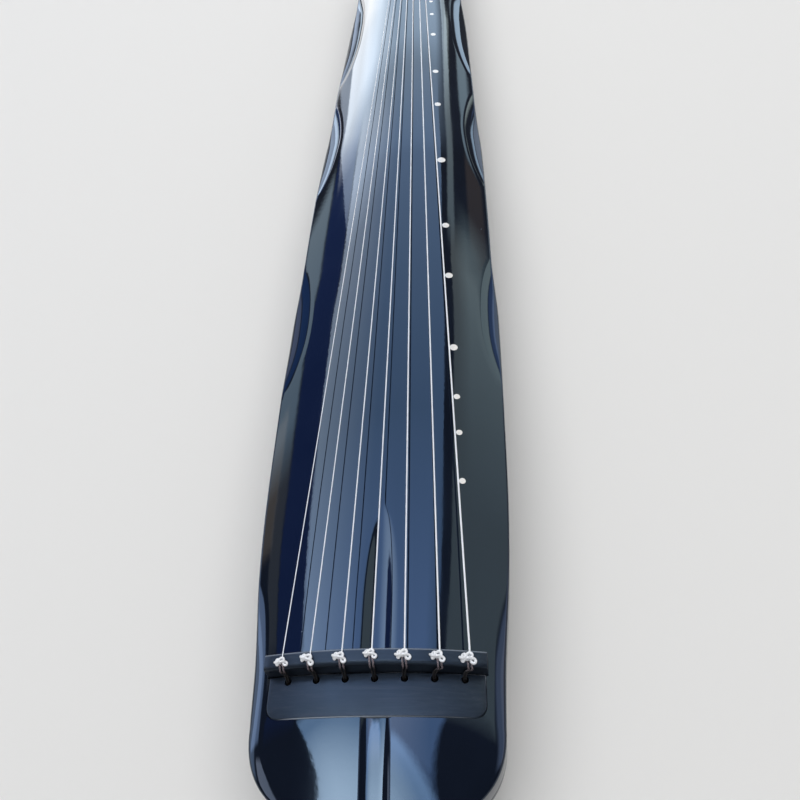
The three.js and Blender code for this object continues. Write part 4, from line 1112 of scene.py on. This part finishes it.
def guards():
    top, half = STAND - SEAT_GAP, GUARD_THICK / 2 - SEAT_GAP
    flare = top * 0.45
    tenon_x, tenon_y = GUARD_THICK / 4, GUARD_FOOT / 4
    for side, place in ((-1, "left"), (1, "right")):
        middle = side * GUARD_MIDDLE
        piece = block(
            f"guard_{place}", (middle - half, -HOLE_PLACE - GUARD_LENGTH / 2, 0),
            (middle + half, -HOLE_PLACE + GUARD_LENGTH / 2, top),
        )
        slices(piece, [top * 0.12, top * 0.28, flare], (0, 0, 1))
        for vert in piece.data.vertices:
            t = min(vert.co.z / flare, 1)
            full = GUARD_FOOT + (GUARD_LENGTH - GUARD_FOOT) * math.sin(t * math.pi / 2)
            vert.co.y = -HOLE_PLACE + math.copysign(full / 2, vert.co.y + HOLE_PLACE)
        round_edges(piece, GUARD_ROUND, 4, lambda mid, run: abs(run.z) > 1)
        pick(piece, "FACE", lambda mid, normal: normal.z > 0.9 and mid.z > top - 0.1)
        bpy.ops.mesh.inset(thickness=half - tenon_x - 0.2, depth=0)
        bpy.ops.mesh.extrude_region_move(TRANSFORM_OT_translate={"value": (0, 0, GUARD_TENON + SEAT_GAP)})
        ratio = tenon_y / (GUARD_LENGTH / 2 - half + tenon_x)
        bpy.ops.transform.resize(value=(0.97, ratio * 0.98, 1), center_override=(middle, -HOLE_PLACE, top))
        round_edges(piece, GUARD_FOOT_ROUND, 3, lambda mid, run: mid.z < 0.05)
        finish_piece(piece, "red_hardwood", [f"peg_guard_{place}"], 35)


FOOT_NECK_TOP = STAND - SEAT_GAP - FOOT_FLANGE
FOOT_NECK_LOW = 1.7 * FOOT_BASE


def goose_feet():
    top = STAND - SEAT_GAP
    profile = [
        (FOOT_BASE_R - 2.2, 0), (FOOT_BASE_R - 1.0, 0.12), (FOOT_BASE_R - 0.3, 0.5), (FOOT_BASE_R, 1.1),
        (FOOT_BASE_R, FOOT_BASE - 0.5), (FOOT_BASE_R - 0.3, FOOT_BASE),
        (FOOT_BASE_R - 1.3, FOOT_BASE + 0.55), (FOOT_NECK_R + 2.2, FOOT_BASE + 1.2),
        (FOOT_NECK_R + 0.8, FOOT_NECK_LOW - 0.5), (FOOT_NECK_R, FOOT_NECK_LOW),
        (FOOT_NECK_R, FOOT_NECK_TOP - 0.4), (FOOT_NECK_R + 0.5, FOOT_NECK_TOP),
        (FOOT_FLANGE_R - 0.6, FOOT_NECK_TOP + 0.02), (FOOT_FLANGE_R, FOOT_NECK_TOP + 0.6),
        (FOOT_FLANGE_R, top - 0.4), (FOOT_FLANGE_R - 0.4, top), (TENON_R, top),
        (TENON_R, top + TENON_LENGTH - 0.8), (TENON_R - 0.8, top + TENON_LENGTH),
    ]
    model = turned("foot_model", profile, 64, FOOT_PLACE)
    for side, place in ((-1, "left"), (1, "right")):
        piece = copied(model, f"foot_{place}", Matrix.Translation((side * FOOT_SPACING, 0, 0)))
        finish_piece(piece, "red_hardwood", [f"goose_foot_{place}"], 40)
    bpy.data.objects.remove(model)


# Strings
def foot_side(n):
    return 1 if n <= STUD_SIDE_STRINGS else -1


def foot_strings(side):
    return [n for n in STRINGS if foot_side(n) == side]


def winding_gap(side):
    wound = [STRING_WIDTHS[n - 1] * (WINDING_TURNS + 1) for n in foot_strings(side)]
    return (FOOT_NECK_TOP - FOOT_NECK_LOW - sum(wound)) / (len(wound) * (WINDING_TURNS + 1) + 1)


def winding_top(n):
    """Top of a string's winding on its foot: each string has its own band of the neck."""
    gap = winding_gap(foot_side(n))
    above = [m for m in foot_strings(foot_side(n)) if m < n]
    used = sum((WINDING_TURNS + 1) * (STRING_WIDTHS[m - 1] + gap) for m in above)
    return FOOT_NECK_TOP - gap - used - STRING_WIDTHS[n - 1] / 2


def quarter(x, y, z, radius, start):
    """Points of a quarter turn downwards round an axis across the body: from the top (1) or tail (0)."""
    angles = [math.pi / 2 * (start - i / 10) for i in range(11)]
    return [Vector((x, y + radius * math.cos(a), z + radius * math.sin(a))) for a in angles]


def string_route(n):
    """From the knot over the bridge and nut, round the tail and under the board, round a goose foot."""
    off = STRING_WIDTHS[n - 1] / 2 + SEAT_GAP
    start_x, x = bridge_x(n), across(n, NUT_PITCH)
    knot, edge = KNOTS[n - 1][2], bridge_top(start_x) + off
    line = curve_through([
        (start_x, knot - 1.8, edge + 0.25),
        (start_x, knot - 0.2, edge + 0.25),
        (start_x, -1.0, edge + 0.1),
        (start_x, 0.4, edge - 0.15),
    ], 4)
    nut_top = crown_at(STRING_LENGTH) + NUT_HEIGHT
    first, second = line[-1].copy(), Vector((x, STRING_LENGTH + BRIDGE_ROUND, nut_top + off))
    line += [first.lerp(second, i / 60) for i in range(1, 61)]
    line += quarter(x, TAIL_END - NUT_ROUND, nut_top - NUT_ROUND, NUT_ROUND + off, 1)
    low = STAND - LOWER_NUT_DROP
    line += quarter(x, TAIL_END - LOWER_NUT_ROUND, low + LOWER_NUT_ROUND, LOWER_NUT_ROUND + off, 0)
    line.append(Vector((x, TAIL_END - LOWER_NUT_DEPTH, low - off)))
    return line + winding(n, x)


def winding(n, x):
    side = foot_side(n)
    radius = FOOT_NECK_R + SEAT_GAP + STRING_WIDTHS[n - 1] / 2
    centre = Vector((side * FOOT_SPACING, FOOT_PLACE))
    away = Vector((x - centre.x, TAIL_END - LOWER_NUT_DEPTH - centre.y))
    start = math.atan2(away.y, away.x) + side * math.acos(radius / away.length)
    pitch = STRING_WIDTHS[n - 1] + winding_gap(side)
    top, steps = winding_top(n), 40
    line = []
    for i in range(round(WINDING_TURNS * steps) + 1):
        angle = start + side * 2 * math.pi * i / steps
        height = top - pitch * i / steps
        line.append(Vector((*(centre + radius * Vector((math.cos(angle), math.sin(angle)))), height)))
    return line


# Each knot as it was tied: its size, its lean in degrees, and how far along from the bridge's sounding
# edge it starts, towards the head.
KNOTS = [
    (1.06, 2, -2.4), (0.96, -3, -2.4), (0.98, 6, -1.8), (0.86, 2, -1.5), (0.92, -6, -3.2),
    (0.94, -12, -3.4), (0.84, 12, -3.6),
]
KNOT_STRAND = 0.95
# The path of the string's end in its knot: under, over itself, out in a small ring and back.
KNOT_LINE = [
    (0.0, -0.8, 0.95), (-0.2, -2.0, 0.95), (-0.7, -3.2, 0.95), (-1.7, -4.0, 1.1), (-2.6, -3.5, 2.6),
    (-2.3, -2.2, 3.5), (-1.5, -1.2, 3.1), (-0.3, -0.6, 2.9), (1.0, -0.9, 2.9), (1.5, -2.0, 2.6),
    (1.0, -3.0, 2.3), (0.5, -4.0, 1.6), (0.6, -5.2, 1.1), (1.4, -6.2, 0.95), (2.7, -6.3, 0.95),
    (3.4, -5.2, 1.0), (2.8, -4.1, 1.3), (1.5, -3.7, 2.4), (-0.2, -3.7, 3.3), (-1.8, -3.6, 3.3),
    (-3.3, -4.2, 2.4), (-4.2, -5.0, 1.3), (-4.9, -4.4, 1.1), (-4.9, -2.9, 2.2), (-4.2, -1.5, 2.6),
    (-3.0, -1.5, 3.6), (-2.8, -3.0, 3.8), (-4.0, -3.7, 3.3), (-5.6, -3.0, 1.9), (-6.4, -2.2, 1.3),
    (-6.9, -1.8, 1.2),
]


def strings():
    """Each string with its knot, whose end thins out over its last points."""
    for n in STRINGS:
        wire = rope(f"string_{n}_wire", string_route(n), STRING_WIDTHS[n - 1] / 2, 12)
        size, lean, start = KNOTS[n - 1]
        turn = Matrix.Rotation(math.radians(lean), 3, "Z")
        base = Vector((bridge_x(n), start, bridge_top(bridge_x(n)) + SEAT_GAP))
        line = [turn @ point * size + base for point in curve_through(KNOT_LINE, 6)]
        radii = [KNOT_STRAND * size] * len(line)
        for i in range(8):
            radii[-1 - i] *= 0.25 + 0.75 * math.sqrt(i / 8)
        knot = rope(f"string_{n}_knot", line, radii, 12)
        for piece in (wire, knot):
            finish_piece(piece, "white_string", [f"string_{n}"], 60)


# Loop cords
def loop_cords():
    """Two strands from under each knot, side by side down the bridge, twisted together in the strip."""
    for n in STRINGS:
        x, hole = bridge_x(n), across(n, HOLE_PITCH)
        top, lip = bridge_top(x), strip_top(hole, -HOLE_PLACE)
        between = x * 0.4 + hole * 0.6
        knot, seat = KNOTS[n - 1][2], top + SEAT_GAP + LOOP_STRAND
        low, start = POOL_ROOF - PEG_BORE_DEPTH + SEAT_GAP + 0.3, lip - 1.2
        parts = []
        for half, way in enumerate((-1, 1)):
            side = way * LOOP_SPREAD
            line = curve_through([
                (x - 0.8 + side * 0.5, knot - 3.4, seat),
                (x - 0.6 + side * 0.8, knot - 4.4, seat),
                (x + side, -BRIDGE_DEPTH + 1.2, top - 0.3 + LOOP_STRAND),
                (x + side, -BRIDGE_DEPTH - 0.1, top - 1.7 + LOOP_STRAND * 0.6),
                (x + side, -BRIDGE_DEPTH - LOOP_STRAND - 0.25, top - 4.2),
                (between + side * 0.9, -BRIDGE_DEPTH - LOOP_STRAND - 0.5, (top + lip) / 2),
                (hole + way * 0.72, -HOLE_PLACE + 1.5, lip + 3.4),
                (hole + way * 0.7, -HOLE_PLACE + 0.2, lip + 0.8),
            ], 6)
            for i in range(LOOP_STEPS + 1):
                twist = 2 * math.pi * LOOP_TWISTS * i / LOOP_STEPS + (0 if way > 0 else math.pi)
                away = LOOP_TWIST * math.sin(twist)
                height = start + (low - start) * i / LOOP_STEPS
                line.append(Vector((hole + LOOP_TWIST * math.cos(twist), away - HOLE_PLACE, height)))
            parts.append(rope(f"leg_{half}", line, LOOP_STRAND, 10))
        piece = joined(parts, f"loop_cord_{n}_twisted")
        # Painted highlight: each loop cord is marked from a little under the bridge's top upwards, and its
        # finish is painted pinkish grey there.
        highlight_start, span = top - HIGHLIGHT_LOW, HIGHLIGHT_LOW - HIGHLIGHT_FULL
        mark(piece, "rubbed", lambda co: clamp((co.z - highlight_start) / span))
        finish_piece(piece, "silk_cord", [f"loop_cord_{n}"], 60)


top_board()
bottom_board()
bridge()
string_hole_strip()
tail_nut()
lower_nut()
for side, place in ((-1, "left"), (1, "right")):
    crown_plate(side, place)
studs()
pegs()
peg_cords()
guards()
goose_feet()
strings()
loop_cords()
for name, material in (("peg_pool_plate", HARDWOOD), ("heaven_post", BARE_WOOD), ("earth_post", BARE_WOOD)):
    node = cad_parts[name]
    node.data.materials.clear()
    node.data.materials.append(material)


# Stage
FLOOR_SIZE = 40.0


def floor():
    put_down()
    bpy.ops.mesh.primitive_plane_add(size=FLOOR_SIZE, location=(0, 0, 0))
    piece = bpy.context.object
    piece.name = "floor"
    finish = Finish("pale_floor")
    finish.set(Base_Color=(0.8, 0.79, 0.77), Roughness=0.85)
    piece.data.materials.append(finish.material)


def lamp(name, place, target, width, height, radiance, seen_by, turn=0.0, fades=(0, 0, 0, 0)):
    """A rectangular soft lamp, which can fade towards its left, right, near and far edges."""
    data = bpy.data.lights.new(name, "AREA")
    data.shape = "RECTANGLE"
    data.size, data.size_y = width, height
    strongest = max(radiance)
    data.color = [part / strongest for part in radiance]
    data.energy = strongest * width * height * math.pi
    if any(fades):
        fade_out(data, fades)
    piece = bpy.data.objects.new(name, data)
    bpy.context.scene.collection.objects.link(piece)
    piece.location = place
    aim = Vector(target) - Vector(place)
    facing = Quaternion((1, 0, 0, 0)) if abs(aim.normalized().z) > 0.999 else aim.to_track_quat("-Z", "Y")
    piece.rotation_mode = "QUATERNION"
    piece.rotation_quaternion = Quaternion((0, 0, 1), math.radians(-turn)) @ facing
    piece.visible_camera = False
    piece.visible_diffuse = seen_by != "gloss"
    piece.visible_glossy = seen_by != "matt"


def fade_out(data, fades):
    """Weakens a lamp towards its edges, each over its share of the lamp."""
    data.use_nodes = True
    nodes = Nodes(data.node_tree)
    parts = nodes.node("ShaderNodeSeparateXYZ")
    nodes.link(nodes.node("ShaderNodeNewGeometry").outputs["Parametric"], parts.inputs["Vector"])
    strength = None
    for (axis, edge, way), share in zip((("X", 0, 1), ("X", 1, -1), ("Y", 0, 1), ("Y", 1, -1)), fades):
        if share:
            rise = nodes.spread(parts.outputs[axis], 0.0, 1.0, edge, edge + way * share)
            strength = nodes.sum("MULTIPLY", strength, rise) if strength else rise
    nodes.link(strength, data.node_tree.nodes["Emission"].inputs["Strength"])


BOARD_LEVEL = 0.08


def overhead(name, x0, x1, y0, y1, radiance, seen_by, height, turn=0.0, fades=(0, 0, 0, 0)):
    """A lamp over the board. Its edges are given as slopes seen from the board: sideways and along."""
    rise = height - BOARD_LEVEL
    x, y = (x0 + x1) / 2 * rise, (y0 + y1) / 2 * rise
    width, length = (x1 - x0) * rise, (y1 - y0) * rise
    lamp(name, (x, y, height), (x, y, 0), width, length, radiance, seen_by, turn, fades)


# The one matt lamp: the slopes of its edges, its brightness, who sees it and its height.
KEY_LAMP = (-1.0, 0.95, -0.7, 1.4, (1.15, 1.15, 1.15), "matt", 3.0)
THIN_FADES, WIDE_FADES = (0.1, 0.1, 0.1, 0.1), (0.15, 0.15, 0.15, 0.15)
# Soft panels that only the gloss shows: sideways and along slopes of their edges, turn, fades, brightness.
PANELS = [
    ("strip", -0.6, 0.175, 0.2, 1.9, 1.6, (0, 0, 0.04, 0.2), (1.28, 1.76, 2.48)),
    ("strip_glow", -0.6, -0.2, 0.2, 1.9, 1.6, (0, 0.95, 0.04, 0.1), (2.6, 2.2, 1.7)),
    ("strip_glow_near", -0.6, -0.1, 0.2, 0.85, 0, (0, 0.95, 0, 0.8), (1.2, 1.3, 1.4)),
    ("near_glow", -0.6, 0.16, 0.2, 0.75, 0, (0, 0.1, 0, 0.8), (0.9, 1.05, 1.75)),
    ("far_slant", -0.9, -0.45, 1.3, 2.9, -25, (0, 0.8, 0.15, 0.1), (2.5, 2.7, 3.0)),
    ("far_white", -0.95, -0.33, 1.7, 3.4, -10, (0.03, 0.6, 0.25, 0.05), (6.2, 6.1, 5.9)),
    ("far_sheet", -0.75, 0.3, 1.5, 3.1, 0, (0.2, 0.12, 0.35, 0.05), (2.4, 3.0, 3.6)),
    ("far_tip", -0.9, 0.37, 2.5, 4.2, 0, (0.1, 0.05, 0.2, 0.1), (1.5, 1.4, 1.3)),
    ("far_right", 0.26, 0.335, 1.7, 3.6, 0, (0.1, 0.1, 0.2, 0.1), (2.3, 2.6, 2.7)),
    ("head_left", -0.42, -0.08, -0.45, 0.25, -38, (0.02, 0.12, 0.04, 0.1), (3.8, 4.7, 5.8)),
    ("head_bright", -0.35, -0.08, -0.5, 0.1, -38, (0.02, 0.8, 0.05, 0.9), (17.0, 15.0, 12.5)),
    ("head_blue", -0.15, 0.155, -0.26, 0.18, 25, (0.05, 0.1, 0.25, 0.1), (1.8, 2.4, 3.6)),
    ("head_blue_left", -0.15, 0.1, -0.26, 0.18, 10, (0.05, 0.9, 0.2, 0.1), (3.0, 2.2, 1.8)),
    ("right_panel", 0.225, 1.3, -0.02, 1.3, 3, (0, 0.3, 0.1, 0.1), (1.3, 1.25, 1.0)),
    ("right_glow", 0.27, 0.95, 0.55, 1.4, 3, (0.15, 0.3, 0.6, 0.15), (0.9, 1.05, 0.95)),
    ("right_streak", 0.26, 0.335, 1.2, 2.4, 4, (0.2, 0.2, 0.1, 0.1), (1.3, 1.45, 1.35)),
    ("far_tip_right", 0.4, 0.62, 2.45, 3.6, 0, (0.2, 0.2, 0.1, 0.1), (1.0, 1.2, 1.3)),
    ("far_outer", 0.95, 1.9, 2.9, 4.8, 0, (0.15, 0.1, 0.15, 0.1), (2.2, 2.8, 3.3)),
    ("right_far", 0.44, 0.62, 1.6, 2.25, 0, (0.15, 0.3, 0.2, 0.1), (1.5, 1.85, 1.95)),
    ("right_red", 0.42, 0.62, 1.25, 1.65, 0, WIDE_FADES, (0.38, 0.24, 0.14)),
    ("right_outer", 0.8, 1.45, 1.1, 2.3, 0, WIDE_FADES, (2.0, 2.2, 1.9)),
    ("right_navy", 1.4, 2.3, 1.4, 2.8, 0, WIDE_FADES, (0.3, 0.5, 1.0)),
    ("right_side", 1.2, 3.0, -0.5, 1.0, 0, WIDE_FADES, (1.3, 1.3, 1.6)),
    ("navy_left", -0.86, -0.6, 0.0, 2.0, 0, (0, 0, 0.1, 0.1), (0.0, 0.09, 0.5)),
    ("left_strip", -1.0, -0.86, 0.35, 0.95, 0, (0.1, 0.1, 0.1, 0.2), (0.56, 0.47, 0.39)),
    ("left_strip_far", -1.2, -0.86, 0.8, 1.9, 0, (0.1, 0.1, 0.15, 0.1), (1.8, 2.1, 2.2)),
    ("left_warm", -1.25, -0.97, 0.62, 1.05, 0, THIN_FADES, (1.3, 0.85, 0.5)),
    ("window_far_left", -1.7, -1.0, 2.6, 4.2, 0, THIN_FADES, (4.5, 4.3, 4.1)),
    ("window_low_left", -3.4, -1.8, 3.3, 5.5, 0, THIN_FADES, (2.4, 2.8, 3.2)),
    ("window_head_left", -2.2, -1.2, -1.2, -0.1, 0, THIN_FADES, (3.0, 2.7, 2.8)),
    ("left_outer_near", -4.5, -1.25, 0.05, 1.35, 0, (0.1, 0.05, 0.1, 0.1), (2.0, 2.3, 3.1)),
    ("left_outer_far", -3.4, -1.25, 1.35, 3.3, 0, THIN_FADES, (0.0, 0.16, 0.61)),
    ("back_panel", -0.6, 0.8, -2.2, -0.9, 0, THIN_FADES, (1.6, 1.7, 1.9)),
]
PANEL_HEIGHT, PANEL_STEP = 8.0, 0.1
WALL_PLACE = 9.0
# Walls for the low gloss along both sides: side, near end, far end, foot, top, brightness.
WALLS = [
    ("left_wall_near", -1, -3, 6, 0.35, 3.75, (1.5, 1.7, 2.1)),
    ("left_wall_middle", -1, 5, 12, 0.35, 2.6, (0.5, 0.6, 0.95)),
    ("left_wall_far", -1, 11, 20, 0.35, 4.2, (1.6, 1.9, 2.4)),
    ("right_wall_near", 1, -3, 6, 0.3, 4.9, (0.8, 0.6, 0.55)),
    ("right_wall_far", 1, 6, 20, 0.3, 4.9, (1.1, 1.25, 1.5)),
]
WALL_FADES = (0.12, 0.12, 0.12, 0.12)
ROOM_COLOUR, ROOM_LEVEL, ROOM_GLOSS_LEVEL = (0.95, 0.97, 1.0), 0.35, 0.12


def lamps():
    overhead("key_lamp", *KEY_LAMP)
    for i, (name, x0, x1, y0, y1, turn, fades, radiance) in enumerate(PANELS):
        overhead(name, x0, x1, y0, y1, radiance, "gloss", PANEL_HEIGHT + i * PANEL_STEP, turn, fades)
    for name, side, near, far, low, high, radiance in WALLS:
        middle = Vector((side * WALL_PLACE, (near + far) / 2, (low + high) / 2))
        straight = Vector((0, middle.y, middle.z))
        lamp(name, middle, straight, far - near, high - low, radiance, "gloss", 0, WALL_FADES)


def room():
    """An even pale room, dimmer in the gloss so that the lacquer stays deep."""
    world = bpy.data.worlds.new("room")
    bpy.context.scene.world = world
    world.use_nodes = True
    nodes = Nodes(world.node_tree)
    background = world.node_tree.nodes["Background"]
    nodes.feed(background.inputs["Color"], ROOM_COLOUR)
    glossy = nodes.node("ShaderNodeLightPath").outputs["Is Glossy Ray"]
    nodes.link(nodes.spread(glossy, ROOM_LEVEL, ROOM_GLOSS_LEVEL), background.inputs["Strength"])


floor()
lamps()
room()


# Camera, fitted to the photograph: its turns, its lens and middle in pixels, its place in millimetres,
# and the widths of the picture and the sensor
CAMERA_PITCH, CAMERA_YAW, CAMERA_ROLL = 0.8874, -0.1591, -0.173
FOCAL, MIDDLE_U, MIDDLE_V = 806.8442, 404.7089, 395.6573
CAMERA_X, CAMERA_Y, CAMERA_Z = 82.5869, -201.4213, 609.4961
PICTURE, SENSOR = 800, 36


def camera():
    """The view of the photograph: its place, its turn, its lens and the small shift of its frame."""
    pitch, yaw, roll = CAMERA_PITCH, CAMERA_YAW, CAMERA_ROLL
    forward = Vector((math.sin(yaw) * math.cos(pitch), math.cos(yaw) * math.cos(pitch), -math.sin(pitch)))
    right = Vector((math.cos(yaw), -math.sin(yaw), 0))
    up = right.cross(forward)
    tilted = right * math.cos(roll) + up * math.sin(roll)
    upright = up * math.cos(roll) - right * math.sin(roll)
    data = bpy.data.cameras.new("view")
    data.sensor_width = SENSOR
    data.lens = FOCAL * SENSOR / PICTURE
    data.shift_x = (PICTURE / 2 - MIDDLE_U) / PICTURE
    data.shift_y = (MIDDLE_V - PICTURE / 2) / PICTURE
    data.clip_start, data.clip_end = 0.05, 100
    view = bpy.data.objects.new("view", data)
    bpy.context.scene.collection.objects.link(view)
    turn = Matrix((tilted, upright, -forward)).transposed().to_4x4()
    place = (CAMERA_X / 1000, (CAMERA_Y + ORIGIN_Y) / 1000, CAMERA_Z / 1000)
    view.matrix_world = Matrix.Translation(place) @ turn
    bpy.context.scene.camera = view


camera()
bpy.context.scene.view_settings.view_transform = "Standard"
